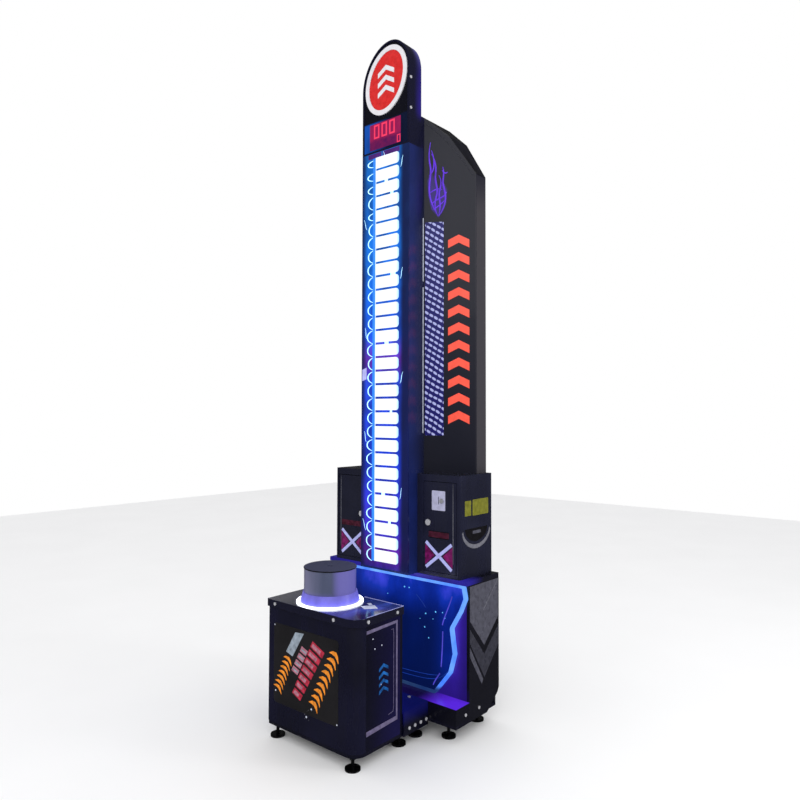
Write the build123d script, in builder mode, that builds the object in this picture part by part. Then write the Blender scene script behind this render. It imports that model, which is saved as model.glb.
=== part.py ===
from build123d import *
import math
import os

os.makedirs("parts", exist_ok=True)

# Hammer strength tester: anvil box in front, bridge, main cabinet, two shoulder
# modules, light tower with arched sign head and flared rear wings.
# Millimetres. +X is the player's right, +Y away from the player, +Z up.
# The origin is on the floor under the centre of the machine's footprint.

# ---- overall -------------------------------------------------------------
OVERALL_DEPTH = 680.0
OVERALL_HEIGHT = 2740.0
SCREW_HEAD_T = 2.4
FRONT_Y = SCREW_HEAD_T - OVERALL_DEPTH / 2
REAR_Y = OVERALL_DEPTH / 2
BOARD = 12.0
SHEET = 4.0
DOOR_GAP = 2.0
CURVE_GAP = 0.5
RUN_GAP = 0.05
SCREW_GAP = 0.4

# ---- anvil box -----------------------------------------------------------
ANVIL_W = 454.0
ANVIL_BOTTOM = 43.0
ANVIL_LID_TOP = 508.0
ANVIL_DEPTH = 242.0
ANVIL_CORNER_R = 50.0
ANVIL_LEFT_R = 4.0
LID_OVERHANG = 6.0
LID_SKIRT = 28.0
LID_SIDE_GAP = 2.0

# ---- strike unit ---------------------------------------------------------
PAD_X = -24.0
PAD_R = 97.0
PAD_CAP_LIP = 2.0
PAD_CAP_T = 5.0
PAD_TOP = 638.0
PAD_BODY_H = 88.0
PAD_TRAVEL = 25.0
CARRIER_INSET = 8.0
CARRIER_T = 10.0
SHAFT_R = 18.0
SHAFT_BOTTOM = 250.0
BUSH_WALL = 8.0
BUSH_FLANGE_R = 46.0
BUSH_FLANGE_T = 8.0
BUSH_BOTTOM = 320.0
BUSH_TOP = 450.0
RING_W = 12.0
BOOT_FLARE = 16.0
RING_H = 6.0
BOOT_H = 40.0
BOOT_WALL = 2.5
SPRING_MEAN_R = 33.5
SPRING_WIRE_R = 3.0
SPRING_TURNS = 7
STAND_TOP = 390.0
STAND_PLATE_T = 10.0
POST_SIDE = 30.0
BUFFER_R = 30.0
BUFFER_H = 17.0
BUFFER_CLEAR = 3.0

# ---- bridge --------------------------------------------------------------
BRIDGE_W = 472.0
BRIDGE_TOP = 129.0
BRIDGE_SHEET = 6.0

# ---- main cabinet --------------------------------------------------------
CABINET_W = 732.0
CABINET_FRONT_Y = 135.0
PLINTH_FRONT_Y = 50.0
BASE_BOTTOM = 56.0
DECK_TOP = 577.0
DECK_T = 16.0
LEDGE = 16.0
BACK_RECESS = 6.0
STRIP_W = 11.0
PANEL_SETBACK = 4.0
REAR_DOOR_W = 356.0
REAR_DOOR_BOTTOM = 112.0
REAR_DOOR_TOP = 478.0
BOTTOM_CUT_Y = 85.0
BOTTOM_CUT_Z = 62.0
BOTTOM_CUT_R = 40.0

# ---- shoulder modules ----------------------------------------------------
MODULE_W = 666.0
MODULE_FRONT_Y = 122.0
MODULE_TOP = 970.0
MODULE_CORNER_R = 11.0
MODULE_INNER_STILE = 34.0
MODULE_OUTER_STILE = 23.0
MODULE_RAIL = 17.0

# ---- tower ---------------------------------------------------------------
TOWER_W = 252.0
TOWER_FRONT_Y = 63.0
TOWER_DEPTH = 100.0
TOWER_SHEET = 6.0
TOWER_FOOT_T = 8.0
HEAD_BOTTOM = 2290.0
HEAD_MAJOR = 159.6
HEAD_LEAN = 19.0
HEAD_DEPTH = 80.0
HEAD_WALL = 8.0
HEAD_BACK_T = 6.0
BAR_COUNT = 30
BAR_FIRST_Z = 633.0
BAR_PITCH = 55.6
BAR_H = 46.0
BAR_LEFT_X = -50.0
BAR_RIGHT_X = 76.0
BAR_PROUD = 1.5
BAR_ROOT = 0.5
BAR_ROOT_W = 16.0

# ---- sign and score ------------------------------------------------------
SIGN_X = 4.0
SIGN_Z = 2580.0
SIGN_MINOR = 108.5
SIGN_MAJOR = 141.5
SIGN_RIM = 20.0
SIGN_PLATE_T = 8.0
SIGN_SETBACK = 3.0
SIGN_RING_T = 5.0
SIGN_DISC_T = 3.0
SCORE_W = 176.0
SCORE_H = 116.0
SCORE_Z = 2358.0
SCORE_T = 3.0
DIGIT_H = 58.0
DIGIT_W = 30.0
DIGIT_PITCH = 42.0
DIGIT_STROKE = 7.0
DIGIT_PROUD = 1.0
DIGIT_RISE = 20.0
SMALL_DIGIT_X = 74.0
SMALL_DIGIT_DROP = 37.0
SMALL_DIGIT_W = 18.0
SMALL_DIGIT_H = 32.0
SMALL_DIGIT_STROKE = 4.0

# ---- rear wings ----------------------------------------------------------
WING_HALF_W = 308.0
WING_BEND_Y = 272.0
WING_OUTER_Z = 2180.0
WING_KNEE_X = 215.0
WING_KNEE_Z = 2338.0
WING_INNER_Z = 2422.0

# ---- feet, locks, pivots, screws ----------------------------------------
FOOT_R = 27.0
FOOT_H = 8.0
FOOT_STEM_R = 6.0
FOOT_NUT_R = 11.0
FOOT_NUT_H = 7.0
FOOT_X = 195.0
FRONT_FOOT_Y = -312.0
BRIDGE_FOOT_YS = (-72.0, 25.0)
MAIN_FOOT_X = 300.0
MAIN_FOOT_YS = (95.0, 283.0)
PIVOT_R = 3.0
PIVOT_L = 9.0
LOCK_R = 9.0
LOCK_HEAD_R = 12.0
LOCK_HEAD_T = 3.0
LOCK_CAM_L = 34.0
LOCK_CAM_W = 14.0
LOCK_CAM_T = 3.0
LOCK_INSET = 20.0
SCREW_HEAD_R = 6.0
SCREW_SHANK_R = 2.5
SCREW_SHANK_L = 3.0

# ---- derived sizes -------------------------------------------------------
ANVIL_HALF_W = ANVIL_W / 2
ANVIL_FRONT_Y = FRONT_Y + LID_OVERHANG
ANVIL_BACK_Y = ANVIL_FRONT_Y + ANVIL_DEPTH
ANVIL_MID_Y = (ANVIL_FRONT_Y + ANVIL_BACK_Y) / 2
ANVIL_FLOOR = ANVIL_BOTTOM + BOARD
LID_UNDER = ANVIL_LID_TOP - SHEET
CAP_UNDER = PAD_TOP - PAD_CAP_T
PAD_CAP_R = PAD_R + PAD_CAP_LIP
CARRIER_R = PAD_R - CARRIER_INSET
RING_INNER_R = PAD_R + BOOT_FLARE
RING_OUTER_R = RING_INNER_R + RING_W
PAD_BOTTOM = CAP_UNDER - PAD_BODY_H
CARRIER_BOTTOM = PAD_BOTTOM - CARRIER_T
BUSH_OUTER_R = SHAFT_R + BUSH_WALL
SPRING_BOTTOM = STAND_TOP + BUSH_FLANGE_T
BUFFER_TOP = SHAFT_BOTTOM - PAD_TRAVEL - BUFFER_CLEAR
BASE_TOP = BASE_BOTTOM + BOARD
DECK_UNDER = DECK_TOP - DECK_T
CABINET_HALF_W = CABINET_W / 2
CABINET_INNER_X = CABINET_HALF_W - BOARD
BACK_FACE_Y = REAR_Y - BACK_RECESS
BACK_IN_Y = BACK_FACE_Y - BOARD
DECK_FRONT_Y = CABINET_FRONT_Y - LEDGE
MODULE_HALF_W = MODULE_W / 2
MODULE_IN_Y = MODULE_FRONT_Y + BOARD
MODULE_DOOR_INNER_X = TOWER_W / 2 + MODULE_INNER_STILE
MODULE_DOOR_AXIS_X = MODULE_HALF_W - MODULE_OUTER_STILE
MODULE_FILLET = min(MODULE_CORNER_R, BOARD - 1)
MODULE_UNDER = MODULE_TOP - BOARD
MODULE_DOOR_Z0 = DECK_TOP + MODULE_RAIL
MODULE_DOOR_Z1 = MODULE_UNDER - MODULE_RAIL
MODULE_AXIS_Y = MODULE_FRONT_Y + BOARD / 2
TOWER_HALF_W = TOWER_W / 2
TOWER_BACK_Y = TOWER_FRONT_Y + TOWER_DEPTH
TOWER_IN_X = TOWER_HALF_W - TOWER_SHEET
TOWER_BOTTOM = DECK_TOP + TOWER_FOOT_T
HEAD_TOP = OVERALL_HEIGHT
HEAD_BACK_Y = TOWER_FRONT_Y + HEAD_DEPTH
LEAN_SIN = math.sin(math.radians(HEAD_LEAN))
LEAN_COS = math.cos(math.radians(HEAD_LEAN))
SIGN_FACE_Y = TOWER_FRONT_Y + SIGN_SETBACK
REAR_AXIS_X = -REAR_DOOR_W / 2 + BOARD / 2
REAR_AXIS_Y = BACK_FACE_Y - BOARD / 2


def slab(x0, x1, y0, y1, z0, z1, mode=Mode.ADD):
    """Box between two corners."""
    with Locations(((x0 + x1) / 2, (y0 + y1) / 2, (z0 + z1) / 2)):
        Box(x1 - x0, y1 - y0, z1 - z0, mode=mode)


def rod_z(x, y, z0, z1, r, mode=Mode.ADD):
    """Upright round bar."""
    with Locations((x, y, (z0 + z1) / 2)):
        Cylinder(r, z1 - z0, mode=mode)


def rod_y(x, z, y0, y1, r, mode=Mode.ADD):
    """Round bar along Y."""
    with Locations(Location((x, (y0 + y1) / 2, z), (90, 0, 0))):
        Cylinder(r, y1 - y0, mode=mode)


def rod_x(y, z, x0, x1, r, mode=Mode.ADD):
    """Round bar along X."""
    with Locations(Location(((x0 + x1) / 2, y, z), (0, 90, 0))):
        Cylinder(r, x1 - x0, mode=mode)


def save(builder, name):
    """Label one piece and write its STEP file."""
    builder.part.label = name
    export_step(builder.part, f"parts/{name}.step")


def foot(x, y, top):
    """Levelling foot: disc, threaded stem and lock nut under a base."""
    rod_z(x, y, 0, FOOT_H, FOOT_R)
    rod_z(x, y, FOOT_H, top, FOOT_STEM_R)
    rod_z(x, y, top - FOOT_NUT_H, top, FOOT_NUT_R)


def pivots(x, y, z0, z1, mode=Mode.ADD, r=PIVOT_R):
    """Top and bottom pivot pins of a door, or their bores."""
    rod_z(x, y, z1, z1 + PIVOT_L, r, mode)
    rod_z(x, y, z0 - PIVOT_L, z0, r, mode)


def front_corners(corners, right_radius):
    """Round the two front corners of the anvil box: wide on the right, tight on the left."""
    front = corners.group_by(Axis.Y)[0].sort_by(Axis.X)
    fillet(front[-1], right_radius)
    fillet(front[0], ANVIL_LEFT_R)


# ======================= anvil box ========================================
with BuildPart() as front_base:
    with BuildSketch(Plane.XY.offset(ANVIL_BOTTOM)):
        with Locations((0, ANVIL_MID_Y)):
            Rectangle(ANVIL_W, ANVIL_DEPTH)
    extrude(amount=BOARD)
    front_corners(front_base.edges().filter_by(Axis.Z), ANVIL_CORNER_R)
    slab(BRIDGE_SHEET - BRIDGE_W / 2, BRIDGE_W / 2 - BRIDGE_SHEET, ANVIL_BACK_Y, PLINTH_FRONT_Y,
         ANVIL_BOTTOM, ANVIL_BOTTOM + BRIDGE_SHEET)
    slab(PAD_X - BUFFER_R - SHEET, PAD_X + BUFFER_R + SHEET, ANVIL_MID_Y - BUFFER_R - SHEET,
         ANVIL_MID_Y + BUFFER_R + SHEET, ANVIL_FLOOR, BUFFER_TOP - BUFFER_H)
save(front_base, "front_base")

# Front of the box, wrapping round both front corners.
with BuildPart() as anvil_front_panel:
    with BuildSketch(Plane.XY.offset(ANVIL_FLOOR)) as front_plan:
        with Locations((0, ANVIL_FRONT_Y + ANVIL_CORNER_R / 2)):
            Rectangle(ANVIL_W, ANVIL_CORNER_R)
        front_corners(front_plan.vertices(), ANVIL_CORNER_R - 1)
    extrude(amount=LID_UNDER - ANVIL_FLOOR)
    with BuildSketch(Plane.XY.offset(ANVIL_FLOOR)) as front_hollow:
        with Locations((0, ANVIL_FRONT_Y + BOARD + ANVIL_CORNER_R / 2)):
            Rectangle(ANVIL_W - 2 * BOARD, ANVIL_CORNER_R)
        fillet(front_hollow.vertices().group_by(Axis.Y)[0].sort_by(Axis.X)[-1], ANVIL_CORNER_R - BOARD)
    extrude(amount=LID_UNDER - ANVIL_FLOOR, mode=Mode.SUBTRACT)
save(anvil_front_panel, "anvil_front_panel")

SIDE_FRONT_Y = ANVIL_FRONT_Y + ANVIL_CORNER_R
SIDE_BACK_Y = ANVIL_BACK_Y - BOARD
INNER_HALF_W = ANVIL_HALF_W - BOARD

with BuildPart() as anvil_left_panel:
    slab(-ANVIL_HALF_W, -INNER_HALF_W, SIDE_FRONT_Y, SIDE_BACK_Y, ANVIL_FLOOR, LID_UNDER)
save(anvil_left_panel, "anvil_left_panel")

with BuildPart() as anvil_right_panel:
    slab(INNER_HALF_W, ANVIL_HALF_W, SIDE_FRONT_Y, SIDE_BACK_Y, ANVIL_FLOOR, LID_UNDER)
save(anvil_right_panel, "anvil_right_panel")

with BuildPart() as anvil_back_panel:
    slab(-ANVIL_HALF_W, ANVIL_HALF_W, SIDE_BACK_Y, ANVIL_BACK_Y, ANVIL_FLOOR, LID_UNDER)
save(anvil_back_panel, "anvil_back_panel")

# Lid screws sit in the skirt: two along the front, two on each side.
LID_SCREW_Z = ANVIL_LID_TOP - LID_SKIRT / 2
LID_FRONT_XS = (-187.0, 125.0)
LID_SIDE_YS = (-278.0, -125.0)
LID_HALF_W = ANVIL_HALF_W + LID_OVERHANG
LID_REAR_Y = ANVIL_BACK_Y + LID_OVERHANG
LID_DEPTH = LID_REAR_Y - FRONT_Y

with BuildPart() as anvil_lid:
    with BuildSketch(Plane.XY.offset(ANVIL_LID_TOP - LID_SKIRT)):
        with Locations((0, (FRONT_Y + LID_REAR_Y) / 2)):
            Rectangle(2 * LID_HALF_W, LID_DEPTH)
    extrude(amount=LID_SKIRT)
    front_corners(anvil_lid.edges().filter_by(Axis.Z), ANVIL_CORNER_R)
    fillet(anvil_lid.edges().filter_by(Axis.Z).group_by(Axis.Y)[-1], LID_OVERHANG)
    fillet(anvil_lid.faces().sort_by(Axis.Z)[-1].edges(), SHEET / 2)
    with BuildSketch(Plane.XY.offset(ANVIL_LID_TOP - LID_SKIRT)) as lid_hollow:
        with Locations((0, ANVIL_MID_Y)):
            Rectangle(ANVIL_W + 2 * LID_SIDE_GAP, ANVIL_DEPTH + 2 * LID_SIDE_GAP)
        fillet(lid_hollow.vertices().group_by(Axis.Y)[0].sort_by(Axis.X)[-1], ANVIL_CORNER_R - SHEET)
    extrude(amount=LID_SKIRT - SHEET, mode=Mode.SUBTRACT)
    rod_z(PAD_X, ANVIL_MID_Y, LID_UNDER, ANVIL_LID_TOP, PAD_R + BOARD / 2, Mode.SUBTRACT)
    for screw_x in LID_FRONT_XS:
        rod_y(screw_x, LID_SCREW_Z, FRONT_Y - 1, FRONT_Y + SHEET + 1, SCREW_SHANK_R + SCREW_GAP,
              Mode.SUBTRACT)
    for screw_y in LID_SIDE_YS:
        rod_x(screw_y, LID_SCREW_Z, LID_HALF_W - SHEET - 1, LID_HALF_W + 1,
              SCREW_SHANK_R + SCREW_GAP, Mode.SUBTRACT)
        rod_x(screw_y, LID_SCREW_Z, -LID_HALF_W - 1, SHEET + 1 - LID_HALF_W,
              SCREW_SHANK_R + SCREW_GAP, Mode.SUBTRACT)
save(anvil_lid, "anvil_lid")

# ======================= strike unit ======================================
with BuildPart() as light_ring:
    rod_z(PAD_X, ANVIL_MID_Y, ANVIL_LID_TOP, ANVIL_LID_TOP + RING_H, RING_OUTER_R)
    rod_z(PAD_X, ANVIL_MID_Y, ANVIL_LID_TOP, ANVIL_LID_TOP + RING_H, RING_INNER_R, Mode.SUBTRACT)
    fillet(light_ring.edges().filter_by(GeomType.CIRCLE).group_by(Axis.Z)[-1], RING_H / 3)
save(light_ring, "light_ring")

BOOT_BASE_R = RING_INNER_R - CURVE_GAP
BOOT_TOP_R = PAD_R + BOOT_WALL + 1.5

with BuildPart() as pad_boot:
    with BuildSketch(Plane.XZ) as boot_section:
        with BuildLine():
            Polyline(
                (BOOT_BASE_R, ANVIL_LID_TOP),
                (BOOT_TOP_R, ANVIL_LID_TOP + BOOT_H),
                (BOOT_TOP_R - BOOT_WALL, ANVIL_LID_TOP + BOOT_H),
                (BOOT_BASE_R - 2 * BOOT_WALL, ANVIL_LID_TOP),
                close=True,
            )
        make_face()
    revolve(axis=Axis.Z)
pad_boot.part.position = (PAD_X, ANVIL_MID_Y, 0)
save(pad_boot, "pad_boot")

with BuildPart() as strike_pad:
    rod_z(PAD_X, ANVIL_MID_Y, PAD_BOTTOM, CAP_UNDER, PAD_R)
    fillet(strike_pad.edges().filter_by(GeomType.CIRCLE).group_by(Axis.Z)[0], SHEET)
save(strike_pad, "strike_pad")

with BuildPart() as pad_cap:
    rod_z(PAD_X, ANVIL_MID_Y, CAP_UNDER, PAD_TOP, PAD_CAP_R)
    fillet(pad_cap.edges().filter_by(GeomType.CIRCLE), PAD_CAP_T / 3)
    rod_z(PAD_X, ANVIL_MID_Y, PAD_TOP, PAD_TOP + SCREW_HEAD_T, LOCK_R)
save(pad_cap, "pad_cap")

with BuildPart() as plunger:
    rod_z(PAD_X, ANVIL_MID_Y, CARRIER_BOTTOM, PAD_BOTTOM, CARRIER_R)
    rod_z(PAD_X, ANVIL_MID_Y, SHAFT_BOTTOM, CARRIER_BOTTOM, SHAFT_R)
save(plunger, "plunger")

with BuildPart() as guide_bush:
    rod_z(PAD_X, ANVIL_MID_Y, BUSH_BOTTOM, BUSH_TOP, BUSH_OUTER_R)
    rod_z(PAD_X, ANVIL_MID_Y, STAND_TOP, SPRING_BOTTOM, BUSH_FLANGE_R)
    rod_z(PAD_X, ANVIL_MID_Y, BUSH_BOTTOM, BUSH_TOP, SHAFT_R + RUN_GAP, Mode.SUBTRACT)
save(guide_bush, "guide_bush")

# Compression spring with closed flat end rings.
SPRING_END_T = 2 * SPRING_WIRE_R + 1.5
COIL_BOTTOM = SPRING_BOTTOM + SPRING_END_T / 2
COIL_H = CARRIER_BOTTOM - SPRING_BOTTOM - SPRING_END_T

with BuildPart() as return_spring:
    with BuildLine():
        Helix(COIL_H / SPRING_TURNS, COIL_H, SPRING_MEAN_R, center=(0, 0, COIL_BOTTOM))
    with BuildSketch(Plane(origin=(SPRING_MEAN_R, 0, COIL_BOTTOM), z_dir=(0, 1, 0))):
        Circle(SPRING_WIRE_R)
    sweep()
    for ring_z in (SPRING_BOTTOM, CARRIER_BOTTOM - SPRING_END_T):
        rod_z(0, 0, ring_z, ring_z + SPRING_END_T, SPRING_MEAN_R + SPRING_WIRE_R)
        rod_z(0, 0, ring_z, ring_z + SPRING_END_T, SPRING_MEAN_R - SPRING_WIRE_R, Mode.SUBTRACT)
return_spring.part.position = (PAD_X, ANVIL_MID_Y, 0)
save(return_spring, "return_spring")

STAND_X = 185.0
STAND_YS = (-296.0, -130.0)

with BuildPart() as anvil_stand:
    slab(-STAND_X - POST_SIDE / 2, STAND_X + POST_SIDE / 2, STAND_YS[0] - POST_SIDE / 2,
         STAND_YS[1] + POST_SIDE / 2, STAND_TOP - STAND_PLATE_T, STAND_TOP)
    for post_x in (-STAND_X, STAND_X):
        for post_y in STAND_YS:
            slab(post_x - POST_SIDE / 2, post_x + POST_SIDE / 2, post_y - POST_SIDE / 2,
                 post_y + POST_SIDE / 2, ANVIL_FLOOR, STAND_TOP - STAND_PLATE_T)
    rod_z(PAD_X, ANVIL_MID_Y, STAND_TOP - STAND_PLATE_T, STAND_TOP, BUSH_OUTER_R + CURVE_GAP, Mode.SUBTRACT)
save(anvil_stand, "anvil_stand")

with BuildPart() as impact_buffer:
    rod_z(PAD_X, ANVIL_MID_Y, BUFFER_TOP - BUFFER_H, BUFFER_TOP, BUFFER_R)
save(impact_buffer, "impact_buffer")

# ======================= bridge ===========================================
BRIDGE_HALF_W = BRIDGE_W / 2
BRIDGE_SCREW_YS = (-60.0, -27.0, 6.0, 39.0)
BRIDGE_SCREW_Z = ANVIL_BOTTOM + 22
BRIDGE_TOP_SCREW_XS = (-161.0, 161.0)
BRIDGE_TOP_SCREW_Y = 30.0

with BuildPart() as bridge_cover:
    slab(-BRIDGE_HALF_W, BRIDGE_HALF_W, ANVIL_BACK_Y, PLINTH_FRONT_Y, ANVIL_BOTTOM, BRIDGE_TOP)
    slab(BRIDGE_SHEET - BRIDGE_HALF_W, BRIDGE_HALF_W - BRIDGE_SHEET, ANVIL_BACK_Y, PLINTH_FRONT_Y,
         ANVIL_BOTTOM, BRIDGE_TOP - BRIDGE_SHEET, Mode.SUBTRACT)
    for screw_y in BRIDGE_SCREW_YS:
        rod_x(screw_y, BRIDGE_SCREW_Z, -BRIDGE_HALF_W, BRIDGE_HALF_W, SCREW_SHANK_R + SCREW_GAP,
              Mode.SUBTRACT)
    for screw_x in BRIDGE_TOP_SCREW_XS:
        rod_z(screw_x, BRIDGE_TOP_SCREW_Y, BRIDGE_TOP - BRIDGE_SHEET, BRIDGE_TOP,
              SCREW_SHANK_R + SCREW_GAP, Mode.SUBTRACT)
save(bridge_cover, "bridge_cover")

# Identical button-head screws of the lid skirt and the bridge.
with BuildPart() as front_screws:
    for screw_x in LID_FRONT_XS:
        rod_y(screw_x, LID_SCREW_Z, FRONT_Y - SCREW_HEAD_T, FRONT_Y, SCREW_HEAD_R)
        rod_y(screw_x, LID_SCREW_Z, FRONT_Y, FRONT_Y + SCREW_SHANK_L, SCREW_SHANK_R)
    for screw_y in LID_SIDE_YS:
        rod_x(screw_y, LID_SCREW_Z, LID_HALF_W, LID_HALF_W + SCREW_HEAD_T, SCREW_HEAD_R)
        rod_x(screw_y, LID_SCREW_Z, LID_HALF_W - SCREW_SHANK_L, LID_HALF_W, SCREW_SHANK_R)
        rod_x(screw_y, LID_SCREW_Z, -LID_HALF_W - SCREW_HEAD_T, -LID_HALF_W, SCREW_HEAD_R)
        rod_x(screw_y, LID_SCREW_Z, -LID_HALF_W, SCREW_SHANK_L - LID_HALF_W, SCREW_SHANK_R)
    for screw_y in BRIDGE_SCREW_YS:
        for side in (-1, 1):
            face_x = side * BRIDGE_HALF_W
            head_x = sorted((face_x, face_x + side * SCREW_HEAD_T))
            shank_x = sorted((face_x, face_x - side * SCREW_SHANK_L))
            rod_x(screw_y, BRIDGE_SCREW_Z, head_x[0], head_x[1], SCREW_HEAD_R)
            rod_x(screw_y, BRIDGE_SCREW_Z, shank_x[0], shank_x[1], SCREW_SHANK_R)
    for screw_x in BRIDGE_TOP_SCREW_XS:
        rod_z(screw_x, BRIDGE_TOP_SCREW_Y, BRIDGE_TOP, BRIDGE_TOP + SCREW_HEAD_T, SCREW_HEAD_R)
        rod_z(screw_x, BRIDGE_TOP_SCREW_Y, BRIDGE_TOP - SCREW_SHANK_L, BRIDGE_TOP, SCREW_SHANK_R)
save(front_screws, "front_screws")

# ======================= feet =============================================
with BuildPart() as front_feet:
    for foot_x in (-FOOT_X, FOOT_X):
        foot(foot_x, FRONT_FOOT_Y, ANVIL_BOTTOM)
        for foot_y in BRIDGE_FOOT_YS:
            foot(foot_x, foot_y, ANVIL_BOTTOM)
save(front_feet, "front_feet")

with BuildPart() as main_feet:
    for foot_x in (-MAIN_FOOT_X, MAIN_FOOT_X):
        for foot_y in MAIN_FOOT_YS:
            foot(foot_x, foot_y, BASE_BOTTOM)
save(main_feet, "main_feet")

# ======================= main cabinet =====================================
with BuildPart() as main_base:
    slab(-CABINET_HALF_W, CABINET_HALF_W, PLINTH_FRONT_Y, CABINET_FRONT_Y, BASE_BOTTOM, BASE_TOP)
    slab(-CABINET_INNER_X, CABINET_INNER_X, CABINET_FRONT_Y, BACK_FACE_Y, BASE_BOTTOM, BASE_TOP)
save(main_base, "main_base")

with BuildPart() as plinth_step:
    slab(-CABINET_HALF_W, CABINET_HALF_W, PLINTH_FRONT_Y, CABINET_FRONT_Y, BASE_TOP, BRIDGE_TOP)
    slab(-CABINET_INNER_X, CABINET_INNER_X, PLINTH_FRONT_Y + BOARD, CABINET_FRONT_Y,
         BASE_TOP, BRIDGE_TOP - BOARD, Mode.SUBTRACT)
save(plinth_step, "plinth_step")

CUT_Y = REAR_Y - BOTTOM_CUT_Y
CUT_Z = BASE_BOTTOM + BOTTOM_CUT_Z
SIDE_OUTLINE = (
    (CABINET_FRONT_Y, BASE_BOTTOM),
    (CUT_Y, BASE_BOTTOM),
    (REAR_Y, CUT_Z),
    (REAR_Y, DECK_UNDER),
    (CABINET_FRONT_Y, DECK_UNDER),
)

with BuildPart() as main_side_right:
    with BuildSketch(Plane.YZ.offset(CABINET_INNER_X)) as right_outline:
        Polygon(*SIDE_OUTLINE, align=None)
        right_corner = right_outline.vertices().sort_by_distance((CABINET_INNER_X, CUT_Y, BASE_BOTTOM))[0]
        fillet(right_corner, BOTTOM_CUT_R)
        fillet(right_outline.vertices().sort_by_distance((CABINET_INNER_X, REAR_Y, CUT_Z))[0], BOTTOM_CUT_R)
    extrude(amount=BOARD)
save(main_side_right, "main_side_right")

with BuildPart() as main_side_left:
    with BuildSketch(Plane.YZ.offset(-CABINET_HALF_W)) as left_outline:
        Polygon(*SIDE_OUTLINE, align=None)
        left_corner = left_outline.vertices().sort_by_distance((-CABINET_HALF_W, CUT_Y, BASE_BOTTOM))[0]
        fillet(left_corner, BOTTOM_CUT_R)
        fillet(left_outline.vertices().sort_by_distance((-CABINET_HALF_W, REAR_Y, CUT_Z))[0], BOTTOM_CUT_R)
    extrude(amount=BOARD)
save(main_side_left, "main_side_left")

with BuildPart() as cheek_panel:
    slab(-CABINET_INNER_X, CABINET_INNER_X, CABINET_FRONT_Y, CABINET_FRONT_Y + BOARD, BASE_TOP, DECK_UNDER)
save(cheek_panel, "cheek_panel")

# Waisted outline shared by the glowing front panel and the light strip round it.
# Each point is its distance in from the cabinet side and its height.
WAIST = ((14.0, DECK_UNDER), (4.0, 511.0), (27.0, 458.0), (68.0, 390.0), (62.0, 350.0),
         (54.0, 297.0), (75.0, 222.0), (149.0, BRIDGE_TOP))
WAIST_R = 18.0
TOP_CORNER_R = 14.0


def waist_face():
    """Front panel outline in the XZ plane, symmetric about the centre."""
    right_side = [(CABINET_HALF_W - inset, z) for inset, z in WAIST]
    left_side = [(-x, z) for x, z in reversed(right_side)]
    Polygon(*(right_side + left_side), align=None)


with BuildPart() as front_panel:
    with BuildSketch(Plane.XZ.offset(-CABINET_FRONT_Y)) as panel_outline:
        waist_face()
        fillet(panel_outline.vertices().group_by(Axis.Z)[1:-1], WAIST_R)
        fillet(panel_outline.vertices().group_by(Axis.Z)[-1], TOP_CORNER_R)
        offset(amount=-STRIP_W - CURVE_GAP, mode=Mode.REPLACE)
    extrude(amount=LEDGE - PANEL_SETBACK)
save(front_panel, "front_panel")

with BuildPart() as light_strip:
    with BuildSketch(Plane.XZ.offset(-CABINET_FRONT_Y)) as strip_outline:
        waist_face()
        fillet(strip_outline.vertices().group_by(Axis.Z)[1:-1], WAIST_R)
        fillet(strip_outline.vertices().group_by(Axis.Z)[-1], TOP_CORNER_R)
        offset(amount=-STRIP_W, mode=Mode.SUBTRACT)
    extrude(amount=LEDGE)
save(light_strip, "light_strip")

with BuildPart() as deck:
    slab(-CABINET_HALF_W, CABINET_HALF_W, DECK_FRONT_Y, REAR_Y, DECK_UNDER, DECK_TOP)
save(deck, "deck")

INLET_X = 270.0
INLET_Z = 160.0
INLET_W = 50.0
INLET_H = 76.0
INLET_GAP = 0.5

with BuildPart() as main_back:
    slab(-CABINET_INNER_X, CABINET_INNER_X, BACK_IN_Y, BACK_FACE_Y, BASE_TOP, DECK_UNDER)
    slab(-REAR_DOOR_W / 2 - DOOR_GAP, REAR_DOOR_W / 2 + DOOR_GAP, BACK_IN_Y, BACK_FACE_Y,
         REAR_DOOR_BOTTOM - DOOR_GAP, REAR_DOOR_TOP + DOOR_GAP, Mode.SUBTRACT)
    pivots(REAR_AXIS_X, REAR_AXIS_Y, REAR_DOOR_BOTTOM, REAR_DOOR_TOP, Mode.SUBTRACT, PIVOT_R + RUN_GAP)
    slab(INLET_X - INLET_W / 2 - INLET_GAP, INLET_X + INLET_W / 2 + INLET_GAP, BACK_IN_Y, BACK_FACE_Y,
         INLET_Z - INLET_H / 2 - INLET_GAP, INLET_Z + INLET_H / 2 + INLET_GAP, Mode.SUBTRACT)
save(main_back, "main_back")

REAR_LOCK_X = REAR_DOOR_W / 2 - LOCK_INSET
REAR_LOCK_Z = (REAR_DOOR_BOTTOM + REAR_DOOR_TOP) / 2

with BuildPart() as rear_door:
    slab(REAR_AXIS_X, REAR_DOOR_W / 2, BACK_IN_Y, BACK_FACE_Y, REAR_DOOR_BOTTOM, REAR_DOOR_TOP)
    rod_z(REAR_AXIS_X, REAR_AXIS_Y, REAR_DOOR_BOTTOM, REAR_DOOR_TOP, BOARD / 2)
    pivots(REAR_AXIS_X, REAR_AXIS_Y, REAR_DOOR_BOTTOM, REAR_DOOR_TOP)
    rod_y(REAR_LOCK_X, REAR_LOCK_Z, BACK_IN_Y, BACK_FACE_Y, LOCK_R + RUN_GAP, Mode.SUBTRACT)
save(rear_door, "rear_door")

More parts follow.
